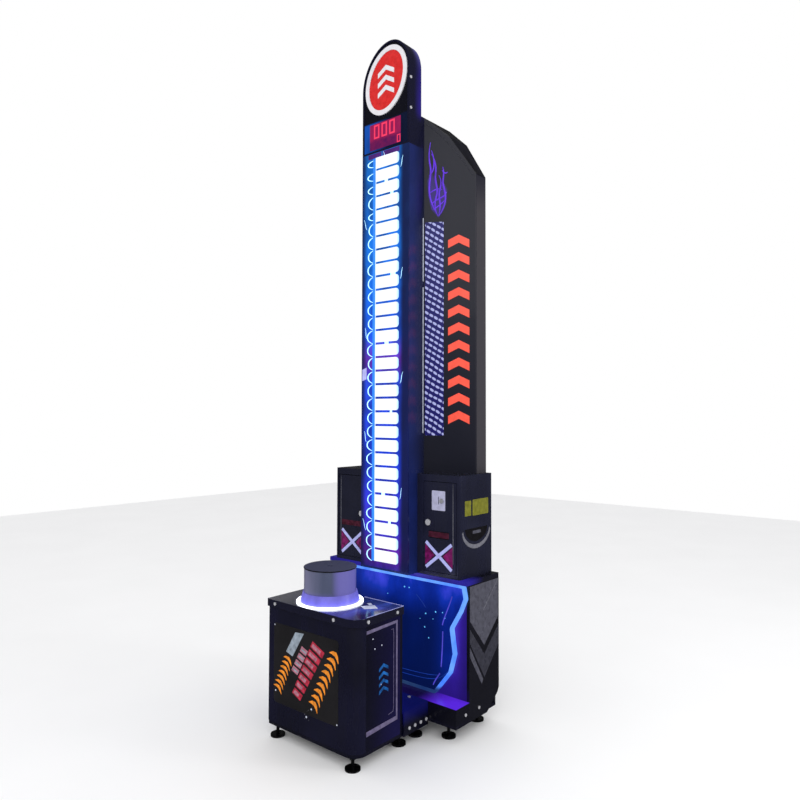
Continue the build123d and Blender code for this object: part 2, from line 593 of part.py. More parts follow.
# ======================= shoulder modules =================================
DOOR_LOCK_X = MODULE_DOOR_INNER_X + LOCK_INSET
DOOR_LOCK_Z = 782.0
COIN_X = (MODULE_DOOR_INNER_X + MODULE_DOOR_AXIS_X) / 2 - 3
COIN_Z = 870.0
COIN_PLATE_W = 64.0
COIN_PLATE_H = 76.0
COIN_PLATE_T = 2.0
COIN_SLOT_W = 3.4
COIN_SLOT_H = 30.0
BUTTON_R = 9.0
BUTTON_PROUD = 5.0
BUTTON_TRAVEL = 3.0
FLAP_SIDE = 27.0
FLAP_W = MODULE_DOOR_AXIS_X - MODULE_DOOR_INNER_X - 2 * FLAP_SIDE
FLAP_H = 26.0
FLAP_T = 4.0
FLAP_Z = 737.0
FLAP_GAP = 1.0
FLAP_PIN_R = 1.5
FLAP_PIN_L = 4.0

for side_name, side in (("right", 1), ("left", -1)):
    inner_x, outer_x = sorted((side * TOWER_HALF_W, side * MODULE_HALF_W))
    hole_x0, hole_x1 = sorted((side * (MODULE_DOOR_INNER_X - DOOR_GAP),
                               side * (MODULE_DOOR_AXIS_X + BOARD / 2 + DOOR_GAP)))
    door_x0, door_x1 = sorted((side * MODULE_DOOR_INNER_X, side * MODULE_DOOR_AXIS_X))
    axis_x = side * MODULE_DOOR_AXIS_X
    side_x0, side_x1 = sorted((side * (MODULE_HALF_W - BOARD), side * MODULE_HALF_W))

    with BuildPart() as module_body:
        slab(inner_x, outer_x, MODULE_FRONT_Y, MODULE_IN_Y, DECK_TOP, MODULE_TOP)
        front_uprights = module_body.edges().filter_by(Axis.Z).group_by(Axis.Y)[0].sort_by(Axis.X)
        fillet(front_uprights[-1 if side > 0 else 0], MODULE_FILLET)
        slab(hole_x0, hole_x1, MODULE_FRONT_Y, MODULE_IN_Y, MODULE_DOOR_Z0 - DOOR_GAP,
             MODULE_DOOR_Z1 + DOOR_GAP, Mode.SUBTRACT)
        pivots(axis_x, MODULE_AXIS_Y, MODULE_DOOR_Z0, MODULE_DOOR_Z1, Mode.SUBTRACT, PIVOT_R + RUN_GAP)
        slab(inner_x, outer_x, MODULE_IN_Y, REAR_Y, MODULE_UNDER, MODULE_TOP)
        slab(side_x0, side_x1, MODULE_IN_Y, REAR_Y, DECK_TOP, MODULE_UNDER)
    save(module_body, f"module_body_{side_name}")

    with BuildPart() as module_door:
        slab(door_x0, door_x1, MODULE_FRONT_Y, MODULE_IN_Y, MODULE_DOOR_Z0, MODULE_DOOR_Z1)
        rod_z(axis_x, MODULE_AXIS_Y, MODULE_DOOR_Z0, MODULE_DOOR_Z1, BOARD / 2)
        pivots(axis_x, MODULE_AXIS_Y, MODULE_DOOR_Z0, MODULE_DOOR_Z1)
        rod_y(side * DOOR_LOCK_X, DOOR_LOCK_Z, MODULE_FRONT_Y, MODULE_IN_Y, LOCK_R + RUN_GAP, Mode.SUBTRACT)
        if side > 0:
            slab(COIN_X - COIN_SLOT_W / 2, COIN_X + COIN_SLOT_W / 2, MODULE_FRONT_Y, MODULE_IN_Y,
                 COIN_Z - COIN_SLOT_H / 2, COIN_Z + COIN_SLOT_H / 2, Mode.SUBTRACT)
            rod_y(COIN_X + COIN_PLATE_W / 4, COIN_Z, MODULE_FRONT_Y, MODULE_IN_Y,
                  BUTTON_R + RUN_GAP, Mode.SUBTRACT)
            slab(COIN_X - FLAP_W / 2 - FLAP_GAP, COIN_X + FLAP_W / 2 + FLAP_GAP, MODULE_FRONT_Y, MODULE_IN_Y,
                 FLAP_Z - FLAP_H / 2 - FLAP_GAP, FLAP_Z + FLAP_H / 2 + FLAP_GAP, Mode.SUBTRACT)
            rod_x(MODULE_FRONT_Y + FLAP_T / 2 + FLAP_GAP, FLAP_Z + FLAP_H / 2 - FLAP_T / 2,
                  COIN_X - FLAP_W / 2 - FLAP_PIN_L, COIN_X + FLAP_W / 2 + FLAP_PIN_L,
                  FLAP_PIN_R + RUN_GAP, Mode.SUBTRACT)
    save(module_door, "coin_door" if side > 0 else "service_door")

with BuildPart() as coin_plate:
    slab(COIN_X - COIN_PLATE_W / 2, COIN_X + COIN_PLATE_W / 2, MODULE_FRONT_Y - COIN_PLATE_T,
         MODULE_FRONT_Y, COIN_Z - COIN_PLATE_H / 2, COIN_Z + COIN_PLATE_H / 2)
    fillet(coin_plate.edges().filter_by(Axis.Y), SHEET)
    slab(COIN_X - COIN_SLOT_W / 2, COIN_X + COIN_SLOT_W / 2, MODULE_FRONT_Y - COIN_PLATE_T,
         MODULE_FRONT_Y, COIN_Z - COIN_SLOT_H / 2, COIN_Z + COIN_SLOT_H / 2, Mode.SUBTRACT)
    rod_y(COIN_X + COIN_PLATE_W / 4, COIN_Z, MODULE_FRONT_Y - COIN_PLATE_T, MODULE_FRONT_Y,
          BUTTON_R + RUN_GAP, Mode.SUBTRACT)
save(coin_plate, "coin_plate")

with BuildPart() as reject_button:
    rod_y(COIN_X + COIN_PLATE_W / 4, COIN_Z, MODULE_FRONT_Y - COIN_PLATE_T - BUTTON_PROUD,
          MODULE_IN_Y + 2, BUTTON_R)
save(reject_button, "reject_button")

# Coin mechanism behind the door, with a pocket that clears the button's travel.
# The corner next to the lock's cam stays open, which shows only where the door is narrow.
MECH_W = 70.0
MECH_D = 52.0
MECH_H = 120.0
CAM_RELIEF = 5.0

with BuildPart() as coin_mech:
    slab(COIN_X - MECH_W / 2, COIN_X + MECH_W / 2, MODULE_IN_Y, MODULE_IN_Y + MECH_D,
         COIN_Z - MECH_H / 2, COIN_Z + MECH_H / 2)
    rod_y(COIN_X + COIN_PLATE_W / 4, COIN_Z, MODULE_IN_Y, MODULE_IN_Y + 2 + BUTTON_TRAVEL + 1,
          BUTTON_R + CURVE_GAP, Mode.SUBTRACT)
    slab(COIN_X - COIN_SLOT_W / 2, COIN_X + COIN_SLOT_W / 2, MODULE_IN_Y, MODULE_IN_Y + MECH_D / 2,
         COIN_Z - COIN_SLOT_H / 2, COIN_Z + COIN_SLOT_H / 2, Mode.SUBTRACT)
    slab(DOOR_LOCK_X - LOCK_CAM_L, DOOR_LOCK_X + LOCK_CAM_W / 2 + CAM_RELIEF, MODULE_IN_Y,
         MODULE_IN_Y + MECH_D, COIN_Z - MECH_H / 2, DOOR_LOCK_Z + LOCK_CAM_L + CAM_RELIEF, Mode.SUBTRACT)
save(coin_mech, "coin_mech")

FLAP_AXIS_Y = MODULE_FRONT_Y + FLAP_T / 2 + FLAP_GAP
FLAP_AXIS_Z = FLAP_Z + FLAP_H / 2 - FLAP_T / 2

with BuildPart() as return_flap:
    slab(COIN_X - FLAP_W / 2, COIN_X + FLAP_W / 2, FLAP_AXIS_Y - FLAP_T / 2, FLAP_AXIS_Y + FLAP_T / 2,
         FLAP_Z - FLAP_H / 2, FLAP_AXIS_Z)
    rod_x(FLAP_AXIS_Y, FLAP_AXIS_Z, COIN_X - FLAP_W / 2, COIN_X + FLAP_W / 2, FLAP_T / 2)
    rod_x(FLAP_AXIS_Y, FLAP_AXIS_Z, COIN_X - FLAP_W / 2 - FLAP_PIN_L, COIN_X - FLAP_W / 2, FLAP_PIN_R)
    rod_x(FLAP_AXIS_Y, FLAP_AXIS_Z, COIN_X + FLAP_W / 2, COIN_X + FLAP_W / 2 + FLAP_PIN_L, FLAP_PIN_R)
save(return_flap, "return_flap")

CASH_SIDE = 16.0
CASH_X0 = MODULE_DOOR_INNER_X + CASH_SIDE
CASH_X1 = MODULE_HALF_W - BOARD - CASH_SIDE - SHEET
CASH_Y0 = 166.0
CASH_Y1 = 300.0
CASH_H = 118.0
CASH_WALL = 3.0
CASH_SLOT = 3.8

with BuildPart() as cash_box:
    slab(CASH_X0, CASH_X1, CASH_Y0, CASH_Y1, DECK_TOP, DECK_TOP + CASH_H)
    slab(CASH_X0 + CASH_WALL, CASH_X1 - CASH_WALL, CASH_Y0 + CASH_WALL, CASH_Y1 - CASH_WALL,
         DECK_TOP + CASH_WALL, DECK_TOP + CASH_H - CASH_WALL, Mode.SUBTRACT)
    slab(COIN_X - COIN_SLOT_H, COIN_X + COIN_SLOT_H, CASH_Y0 + BOARD, CASH_Y0 + BOARD + CASH_SLOT,
         DECK_TOP + CASH_H - CASH_WALL, DECK_TOP + CASH_H, Mode.SUBTRACT)
save(cash_box, "cash_box")

# ======================= locks ============================================
CAM_GAP = 1.0


def lock_y(x, z, face_y, inner_y, out):
    """Cam lock along Y. out is -1 when the door faces -Y and +1 when it faces +Y."""
    head = sorted((face_y, face_y + out * LOCK_HEAD_T))
    rod_y(x, z, head[0], head[1], LOCK_HEAD_R)
    tail_y = inner_y - out * (CAM_GAP + LOCK_CAM_T)
    body = sorted((face_y, tail_y))
    rod_y(x, z, body[0], body[1], LOCK_R)
    cam = sorted((tail_y, tail_y + out * LOCK_CAM_T))
    slab(x - LOCK_CAM_W / 2, x + LOCK_CAM_W / 2, cam[0], cam[1], z, z + LOCK_CAM_L)


with BuildPart() as coin_lock:
    lock_y(DOOR_LOCK_X, DOOR_LOCK_Z, MODULE_FRONT_Y, MODULE_IN_Y, -1)
save(coin_lock, "coin_lock")

with BuildPart() as service_lock:
    lock_y(-DOOR_LOCK_X, DOOR_LOCK_Z, MODULE_FRONT_Y, MODULE_IN_Y, -1)
save(service_lock, "service_lock")

with BuildPart() as rear_lock:
    lock_y(REAR_LOCK_X, REAR_LOCK_Z, BACK_FACE_Y, BACK_IN_Y, 1)
save(rear_lock, "rear_lock")

# ======================= tower ============================================
# Folded channel: both sides of the column on one foot plate.
with BuildPart() as tower_channel:
    slab(-TOWER_HALF_W, TOWER_HALF_W, TOWER_FRONT_Y, TOWER_BACK_Y, DECK_TOP, TOWER_BOTTOM)
    slab(TOWER_IN_X, TOWER_HALF_W, TOWER_FRONT_Y + TOWER_SHEET, TOWER_BACK_Y, TOWER_BOTTOM, HEAD_BOTTOM)
    slab(-TOWER_HALF_W, -TOWER_IN_X, TOWER_FRONT_Y + TOWER_SHEET, TOWER_BACK_Y, TOWER_BOTTOM, HEAD_BOTTOM)
save(tower_channel, "tower_channel")

with BuildPart() as tower_front:
    slab(-TOWER_HALF_W, TOWER_HALF_W, TOWER_FRONT_Y, TOWER_FRONT_Y + TOWER_SHEET, TOWER_BOTTOM, HEAD_BOTTOM)
save(tower_front, "tower_front")

# Score bars: one moulding, square-ended bars rounded on the right, carried by a thin root strip.
BAR_MID_X = (BAR_LEFT_X + BAR_RIGHT_X) / 2
BAR_W = BAR_RIGHT_X - BAR_LEFT_X
BAR_END_R = 14.0
BAR_ROOT_LAP = 2.0

with BuildPart() as light_bars:
    slab(BAR_LEFT_X - BAR_ROOT_W, BAR_LEFT_X + BAR_ROOT_LAP, TOWER_FRONT_Y - BAR_ROOT, TOWER_FRONT_Y,
         BAR_FIRST_Z - BAR_H / 2, BAR_FIRST_Z + (BAR_COUNT - 1) * BAR_PITCH + BAR_H / 2)
    for bar in range(BAR_COUNT):
        bar_z = BAR_FIRST_Z + bar * BAR_PITCH
        with BuildSketch(Plane.XZ.offset(-TOWER_FRONT_Y)) as bar_outline:
            with Locations((BAR_MID_X, bar_z)):
                Rectangle(BAR_W, BAR_H)
            fillet(bar_outline.vertices().group_by(Axis.X)[-1], BAR_END_R)
        extrude(amount=BAR_PROUD)
save(light_bars, "light_bars")

BOARD_HALF_W = 90.0
CIRCUIT_T = 3.0

with BuildPart() as led_board:
    slab(-BOARD_HALF_W, BOARD_HALF_W, TOWER_FRONT_Y + TOWER_SHEET, TOWER_FRONT_Y + TOWER_SHEET + CIRCUIT_T,
         BAR_FIRST_Z - BAR_H / 2, BAR_FIRST_Z + (BAR_COUNT - 1) * BAR_PITCH + BAR_H / 2)
save(led_board, "led_board")


def oval_minor(major, half_w):
    """Minor semi-axis of a leaning oval that reaches half_w to either side."""
    return math.sqrt(half_w ** 2 - (major * LEAN_SIN) ** 2) / LEAN_COS


HEAD_CENTRE_Z = HEAD_TOP - math.hypot(HEAD_MAJOR * LEAN_COS, oval_minor(HEAD_MAJOR, TOWER_HALF_W) * LEAN_SIN)


def arch_face(inset):
    """Head outline, shrunk by inset: straight sides that run tangent into a leaning oval."""
    half_w = TOWER_HALF_W - inset
    major = HEAD_MAJOR - inset
    minor = oval_minor(major, half_w)
    tangent_rise = (major ** 2 - minor ** 2) * LEAN_SIN * LEAN_COS / half_w
    with Locations((0, HEAD_CENTRE_Z)):
        Ellipse(minor, major, rotation=-HEAD_LEAN)
    Polygon((-half_w, HEAD_BOTTOM + inset), (half_w, HEAD_BOTTOM + inset),
            (half_w, HEAD_CENTRE_Z + tangent_rise), (-half_w, HEAD_CENTRE_Z - tangent_rise), align=None)


# The head is shallower than the column above the roof line.
with BuildPart() as head_shell:
    with BuildSketch(Plane.XZ.offset(-HEAD_BACK_Y)):
        arch_face(0)
    extrude(amount=HEAD_DEPTH)
    slab(-TOWER_HALF_W, TOWER_HALF_W, HEAD_BACK_Y, TOWER_BACK_Y, HEAD_BOTTOM, WING_INNER_Z)
    with BuildSketch(Plane.XZ.offset(-TOWER_FRONT_Y)):
        arch_face(HEAD_WALL)
    extrude(amount=HEAD_BACK_T - HEAD_DEPTH, mode=Mode.SUBTRACT)
    slab(HEAD_WALL - TOWER_HALF_W, TOWER_HALF_W - HEAD_WALL, HEAD_BACK_Y - HEAD_BACK_T,
         TOWER_BACK_Y - HEAD_BACK_T, HEAD_BOTTOM + HEAD_WALL, WING_INNER_Z - HEAD_WALL, Mode.SUBTRACT)
save(head_shell, "head_shell")

with BuildPart() as sign_plate:
    with BuildSketch(Plane.XZ.offset(-SIGN_FACE_Y - SIGN_PLATE_T)):
        arch_face(HEAD_WALL + CURVE_GAP)
        with Locations((0, HEAD_BOTTOM + HEAD_WALL + 2 * CURVE_GAP)):
            Rectangle(SCORE_W, 2 * CURVE_GAP, align=(Align.CENTER, Align.MAX))
    extrude(amount=SIGN_PLATE_T)
    slab(-SCORE_W / 2, SCORE_W / 2, SIGN_FACE_Y - SCORE_T, SIGN_FACE_Y, SCORE_Z - SCORE_H / 2,
         SCORE_Z + SCORE_H / 2)
save(sign_plate, "sign_plate")

with BuildPart() as sign_ring:
    with BuildSketch(Plane.XZ.offset(-SIGN_FACE_Y)):
        with Locations((SIGN_X, SIGN_Z)):
            Ellipse(SIGN_MINOR, SIGN_MAJOR, rotation=-HEAD_LEAN)
            Ellipse(SIGN_MINOR - SIGN_RIM, SIGN_MAJOR - SIGN_RIM, rotation=-HEAD_LEAN,
                    mode=Mode.SUBTRACT)
    extrude(amount=SIGN_RING_T)
save(sign_ring, "sign_ring")

with BuildPart() as sign_disc:
    with BuildSketch(Plane.XZ.offset(-SIGN_FACE_Y)):
        with Locations((SIGN_X, SIGN_Z)):
            Ellipse(SIGN_MINOR - SIGN_RIM - CURVE_GAP, SIGN_MAJOR - SIGN_RIM - CURVE_GAP,
                    rotation=-HEAD_LEAN)
    extrude(amount=SIGN_DISC_T)
save(sign_disc, "sign_disc")

# Raised mallet emblem.
EMBLEM_HEAD_W = 92.0
EMBLEM_HEAD_H = 46.0
EMBLEM_SHAFT_W = 15.0
EMBLEM_SHAFT_L = 150.0
EMBLEM_RISE = 20.0
EMBLEM_T = 1.5

with BuildPart() as sign_emblem:
    with BuildSketch(Plane.XZ.offset(-SIGN_FACE_Y + SIGN_DISC_T)):
        with Locations(Location((SIGN_X, SIGN_Z), -HEAD_LEAN)):
            Rectangle(EMBLEM_SHAFT_W, EMBLEM_SHAFT_L)
            with Locations((0, EMBLEM_SHAFT_L / 2 - EMBLEM_RISE)):
                RectangleRounded(EMBLEM_HEAD_W, EMBLEM_HEAD_H, SHEET)
    extrude(amount=EMBLEM_T)
save(sign_emblem, "sign_emblem")

# Three-figure score plus a smaller single figure, all showing nought.
SCORE_FACE_Y = SIGN_FACE_Y - SCORE_T
CARD_T = 0.5


def nought(x, z, w, h, stroke):
    """One figure nought built from a frame of four bars."""
    for bar_x in (x - w / 2 + stroke / 2, x + w / 2 - stroke / 2):
        slab(bar_x - stroke / 2, bar_x + stroke / 2, SCORE_FACE_Y - CARD_T - DIGIT_PROUD,
             SCORE_FACE_Y - CARD_T, z - h / 2, z + h / 2)
    for bar_z in (z - h / 2 + stroke / 2, z + h / 2 - stroke / 2):
        slab(x - w / 2, x + w / 2, SCORE_FACE_Y - CARD_T - DIGIT_PROUD, SCORE_FACE_Y - CARD_T,
             bar_z - stroke / 2, bar_z + stroke / 2)


with BuildPart() as score_figures:
    slab(-SCORE_W / 2 + SHEET, SCORE_W / 2 - SHEET, SCORE_FACE_Y - CARD_T, SCORE_FACE_Y,
         SCORE_Z - SCORE_H / 2 + SHEET, SCORE_Z + SCORE_H / 2 - SHEET)
    for place in (-1, 0, 1):
        nought(place * DIGIT_PITCH - SHEET, SCORE_Z + DIGIT_RISE, DIGIT_W, DIGIT_H, DIGIT_STROKE)
    nought(SMALL_DIGIT_X, SCORE_Z - SMALL_DIGIT_DROP, SMALL_DIGIT_W, SMALL_DIGIT_H, SMALL_DIGIT_STROKE)
save(score_figures, "score_figures")

# ======================= rear wings =======================================
FLARE_RUN = WING_HALF_W - TOWER_HALF_W
FLARE_RISE = WING_BEND_Y - TOWER_BACK_Y
FLARE_LEN = math.hypot(FLARE_RUN, FLARE_RISE)
FLARE_OFFSET_Y = SHEET * FLARE_LEN / FLARE_RUN
WING_IN_X = WING_HALF_W - SHEET
WING_IN_BEND_Y = TOWER_BACK_Y + FLARE_OFFSET_Y + (WING_IN_X - TOWER_HALF_W) * FLARE_RISE / FLARE_RUN
ROOF_RIGHT = ((TOWER_HALF_W, WING_INNER_Z), (WING_KNEE_X, WING_KNEE_Z), (WING_HALF_W, WING_OUTER_Z))
WING_PLAN = ((TOWER_IN_X, TOWER_BACK_Y), (TOWER_HALF_W, TOWER_BACK_Y), (WING_HALF_W, WING_BEND_Y),
             (WING_HALF_W, REAR_Y), (WING_IN_X, REAR_Y), (WING_IN_X, WING_IN_BEND_Y),
             (TOWER_HALF_W, TOWER_BACK_Y + FLARE_OFFSET_Y), (TOWER_IN_X, TOWER_BACK_Y + FLARE_OFFSET_Y))


def under_roof(drop, bottom):
    """Gable outline in the XZ plane, drop below the roof surface."""
    right_edge = [(x, z - drop) for x, z in ROOF_RIGHT]
    left_edge = [(-x, z) for x, z in reversed(right_edge)]
    foot_edge = [(-WING_HALF_W, bottom), (WING_HALF_W, bottom)]
    Polygon(*(left_edge + right_edge + foot_edge[::-1]), align=None)


for side_name, side in (("right", 1), ("left", -1)):
    with BuildPart() as wing:
        with BuildSketch(Plane.XY.offset(MODULE_TOP)):
            Polygon(*[(side * x, y) for x, y in WING_PLAN][::side], align=None)
        extrude(amount=WING_INNER_Z - MODULE_TOP)
        with BuildSketch(Plane.XZ.offset(-REAR_Y)):
            under_roof(SHEET, MODULE_TOP)
        extrude(amount=REAR_Y - TOWER_BACK_Y, mode=Mode.INTERSECT)
    save(wing, f"wing_{side_name}")

with BuildPart() as roof_cap:
    with BuildSketch(Plane.XZ.offset(-REAR_Y)):
        under_roof(0, MODULE_TOP)
    extrude(amount=REAR_Y - TOWER_BACK_Y)
    with BuildSketch(Plane.XZ.offset(-REAR_Y)):
        under_roof(SHEET, MODULE_TOP - SHEET)
    extrude(amount=REAR_Y - TOWER_BACK_Y, mode=Mode.SUBTRACT)
    with BuildSketch(Plane.XY.offset(MODULE_TOP)):
        Polygon((-WING_HALF_W, REAR_Y), (-WING_HALF_W, WING_BEND_Y), (-TOWER_HALF_W, TOWER_BACK_Y),
                (TOWER_HALF_W, TOWER_BACK_Y), (WING_HALF_W, WING_BEND_Y), (WING_HALF_W, REAR_Y), align=None)
    extrude(amount=WING_INNER_Z - MODULE_TOP, mode=Mode.INTERSECT)
save(roof_cap, "roof_cap")

with BuildPart() as tower_back:
    with BuildSketch(Plane.XZ.offset(-BACK_FACE_Y)):
        under_roof(SHEET, MODULE_TOP)
    extrude(amount=SHEET)
    slab(-WING_IN_X, WING_IN_X, BACK_FACE_Y - SHEET, BACK_FACE_Y, MODULE_TOP, WING_INNER_Z, Mode.INTERSECT)
    slab(-MODULE_HALF_W + BOARD, MODULE_HALF_W - BOARD, BACK_FACE_Y - SHEET, BACK_FACE_Y, DECK_TOP,
         MODULE_UNDER)
    slab(-TOWER_HALF_W, TOWER_HALF_W, BACK_FACE_Y - SHEET, BACK_FACE_Y, MODULE_UNDER, MODULE_TOP)
save(tower_back, "tower_back")

# ======================= electrics ========================================
SUPPLY_X0 = 60.0
SUPPLY_L = 160.0
SUPPLY_Y0 = 190.0
SUPPLY_D = 98.0
SUPPLY_H = 46.0

with BuildPart() as power_supply:
    slab(SUPPLY_X0, SUPPLY_X0 + SUPPLY_L, SUPPLY_Y0, SUPPLY_Y0 + SUPPLY_D, BASE_TOP, BASE_TOP + SUPPLY_H)
    fillet(power_supply.edges().filter_by(Axis.Z), SHEET)
save(power_supply, "power_supply")

CONTROL_W = 190.0
CONTROL_H = 130.0
CONTROL_Z0 = 300.0
CHIP = 26.0
CHIP_XS = (-60.0, 0.0, 60.0)
CHEEK_IN_Y = CABINET_FRONT_Y + BOARD

with BuildPart() as control_board:
    slab(-CONTROL_W / 2, CONTROL_W / 2, CHEEK_IN_Y, CHEEK_IN_Y + CIRCUIT_T,
         CONTROL_Z0, CONTROL_Z0 + CONTROL_H)
    for chip_x in CHIP_XS:
        slab(chip_x - CHIP / 2, chip_x + CHIP / 2, CHEEK_IN_Y + CIRCUIT_T, CHEEK_IN_Y + 3 * CIRCUIT_T,
             CONTROL_Z0 + CHIP, CONTROL_Z0 + 2 * CHIP)
save(control_board, "control_board")

# Mains inlet module: flange, body, socket pocket below and switch pocket above.
FLANGE = 4.0
FLANGE_T = 3.0
INLET_D = 30.0
SOCKET_W = 26.0
SOCKET_H = 18.0
SOCKET_D = 16.0
SOCKET_Z = INLET_Z - 18
SWITCH_W = 22.0
SWITCH_H = 30.0
SWITCH_Z = INLET_Z + 18
SWITCH_POCKET = 16.0
ROCKER_R = 12.0
ROCKER_T = 18.0
ROCKER_PIN_R = 2.0
ROCKER_PIN_L = 3.0
ROCKER_SIDE_GAP = 1.0
ROCKER_AXIS_Y = BACK_FACE_Y - 6

with BuildPart() as mains_inlet:
    slab(INLET_X - INLET_W / 2, INLET_X + INLET_W / 2, BACK_FACE_Y - INLET_D, BACK_FACE_Y,
         INLET_Z - INLET_H / 2, INLET_Z + INLET_H / 2)
    slab(INLET_X - INLET_W / 2 - FLANGE, INLET_X + INLET_W / 2 + FLANGE, BACK_FACE_Y,
         BACK_FACE_Y + FLANGE_T, INLET_Z - INLET_H / 2 - FLANGE, INLET_Z + INLET_H / 2 + FLANGE)
    slab(INLET_X - SOCKET_W / 2, INLET_X + SOCKET_W / 2, BACK_FACE_Y + FLANGE_T - SOCKET_D,
         BACK_FACE_Y + FLANGE_T, SOCKET_Z - SOCKET_H / 2, SOCKET_Z + SOCKET_H / 2, Mode.SUBTRACT)
    slab(INLET_X - SWITCH_W / 2, INLET_X + SWITCH_W / 2, BACK_FACE_Y + FLANGE_T - 2 * SWITCH_POCKET,
         BACK_FACE_Y + FLANGE_T, SWITCH_Z - SWITCH_H / 2, SWITCH_Z + SWITCH_H / 2, Mode.SUBTRACT)
    rod_x(ROCKER_AXIS_Y, SWITCH_Z, INLET_X - SWITCH_W / 2 - ROCKER_PIN_L,
          INLET_X + SWITCH_W / 2 + ROCKER_PIN_L, ROCKER_PIN_R + RUN_GAP, Mode.SUBTRACT)
save(mains_inlet, "mains_inlet")

ROCKER_HALF_W = SWITCH_W / 2 - ROCKER_SIDE_GAP

with BuildPart() as power_switch:
    with BuildSketch(Plane.YZ.offset(INLET_X - ROCKER_HALF_W)):
        with Locations((ROCKER_AXIS_Y, SWITCH_Z)):
            Circle(ROCKER_R)
            with Locations((ROCKER_R, 0)):
                Rectangle(ROCKER_R, 2 * ROCKER_R, mode=Mode.SUBTRACT)
    extrude(amount=2 * ROCKER_HALF_W)
    rod_x(ROCKER_AXIS_Y, SWITCH_Z, INLET_X - SWITCH_W / 2 - ROCKER_PIN_L / 2,
          INLET_X + SWITCH_W / 2 + ROCKER_PIN_L / 2, ROCKER_PIN_R)
save(power_switch, "power_switch")

CABINET_SCREWS = ((110.0, 92.0), (199.0, 92.0))
HEAD_SCREWS = ((75.0, 2560.0), (75.0, 2435.0))

with BuildPart() as side_screws:
    for face_x, places in ((CABINET_HALF_W, CABINET_SCREWS), (TOWER_HALF_W, HEAD_SCREWS)):
        for screw_y, screw_z in places:
            rod_x(screw_y, screw_z, face_x, face_x + SCREW_HEAD_T, SCREW_HEAD_R)
            rod_x(screw_y, screw_z, -face_x - SCREW_HEAD_T, -face_x, SCREW_HEAD_R)
save(side_screws, "side_screws")
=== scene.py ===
import math
import random

import bmesh
import bpy
from mathutils import Matrix, Vector


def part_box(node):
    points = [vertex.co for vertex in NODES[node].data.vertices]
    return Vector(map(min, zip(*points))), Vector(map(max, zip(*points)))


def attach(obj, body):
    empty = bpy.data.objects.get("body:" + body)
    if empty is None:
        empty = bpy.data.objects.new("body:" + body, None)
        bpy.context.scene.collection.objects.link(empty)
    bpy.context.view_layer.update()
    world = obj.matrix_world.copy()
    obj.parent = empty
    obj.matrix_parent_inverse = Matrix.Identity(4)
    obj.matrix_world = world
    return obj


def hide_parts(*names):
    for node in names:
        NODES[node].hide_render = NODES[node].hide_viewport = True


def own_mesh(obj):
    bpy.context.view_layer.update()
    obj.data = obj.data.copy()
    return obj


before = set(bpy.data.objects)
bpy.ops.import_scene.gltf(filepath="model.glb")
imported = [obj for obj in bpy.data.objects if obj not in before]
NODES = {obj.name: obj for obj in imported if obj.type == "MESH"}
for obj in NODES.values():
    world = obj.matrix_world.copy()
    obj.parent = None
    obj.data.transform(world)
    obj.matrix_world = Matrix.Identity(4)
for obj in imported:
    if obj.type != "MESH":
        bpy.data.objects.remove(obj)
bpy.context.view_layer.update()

random.seed(7)
MM = 0.001

# ------------------------------------------------------------ node helpers


def base_mat(name, color, rough, metal=0.0, coat=0.0, spec=0.3):
    """A new Principled material, with its tree, shader and object coordinates."""
    m = bpy.data.materials.new(name)
    m.use_nodes = True
    nt = m.node_tree
    b = nt.nodes["Principled BSDF"]
    b.inputs["Base Color"].default_value = (*color, 1)
    b.inputs["Roughness"].default_value = rough
    b.inputs["Metallic"].default_value = metal
    b.inputs["Coat Weight"].default_value = coat
    b.inputs["Coat Roughness"].default_value = 0.08
    b.inputs["Specular IOR Level"].default_value = spec
    tc = nt.nodes.new("ShaderNodeTexCoord")
    return m, nt, b, tc.outputs["Object"]


def noise(nt, co, scale, detail=3.0, stretch=None):
    if stretch:
        mp = nt.nodes.new("ShaderNodeMapping")
        mp.inputs["Scale"].default_value = stretch
        nt.links.new(co, mp.inputs["Vector"])
        co = mp.outputs[0]
    n = nt.nodes.new("ShaderNodeTexNoise")
    n.inputs["Scale"].default_value = scale
    n.inputs["Detail"].default_value = detail
    nt.links.new(co, n.inputs["Vector"])
    return n.outputs["Fac"]


def remap(nt, val, a, b, c, d, smooth=True):
    r = nt.nodes.new("ShaderNodeMapRange")
    r.inputs["From Min"].default_value = a
    r.inputs["From Max"].default_value = b
    r.inputs["To Min"].default_value = c
    r.inputs["To Max"].default_value = d
    if smooth:
        r.interpolation_type = "SMOOTHSTEP"
    nt.links.new(val, r.inputs["Value"])
    return r.outputs[0]


def ramp(nt, val, stops):
    r = nt.nodes.new("ShaderNodeValToRGB")
    e = r.color_ramp.elements
    while len(e) < len(stops):
        e.new(0.5)
    for i, (pos, col) in enumerate(stops):
        e[i].position = pos
        e[i].color = (*col, 1)
    nt.links.new(val, r.inputs[0])
    return r.outputs[0]


def math_(nt, op, a, b=None):
    n = nt.nodes.new("ShaderNodeMath")
    n.operation = op
    for i, v in enumerate((a, b)):
        if v is None:
            continue
        if isinstance(v, (int, float)):
            n.inputs[i].default_value = v
        else:
            nt.links.new(v, n.inputs[i])
    return n.outputs[0]


def times(nt, *values):
    out = values[0]
    for v in values[1:]:
        out = math_(nt, "MULTIPLY", out, v)
    return out


def axes(nt, co):
    s = nt.nodes.new("ShaderNodeSeparateXYZ")
    nt.links.new(co, s.inputs[0])
    return s.outputs[0], s.outputs[1], s.outputs[2]


def bump(nt, b, height, strength, dist=0.001):
    n = nt.nodes.new("ShaderNodeBump")
    n.inputs["Strength"].default_value = strength
    n.inputs["Distance"].default_value = dist
    nt.links.new(height, n.inputs["Height"])
    nt.links.new(n.outputs[0], b.inputs["Normal"])


def tint(nt, fac, lo, hi):
    return ramp(nt, fac, [(0.3, lo), (0.7, hi)])


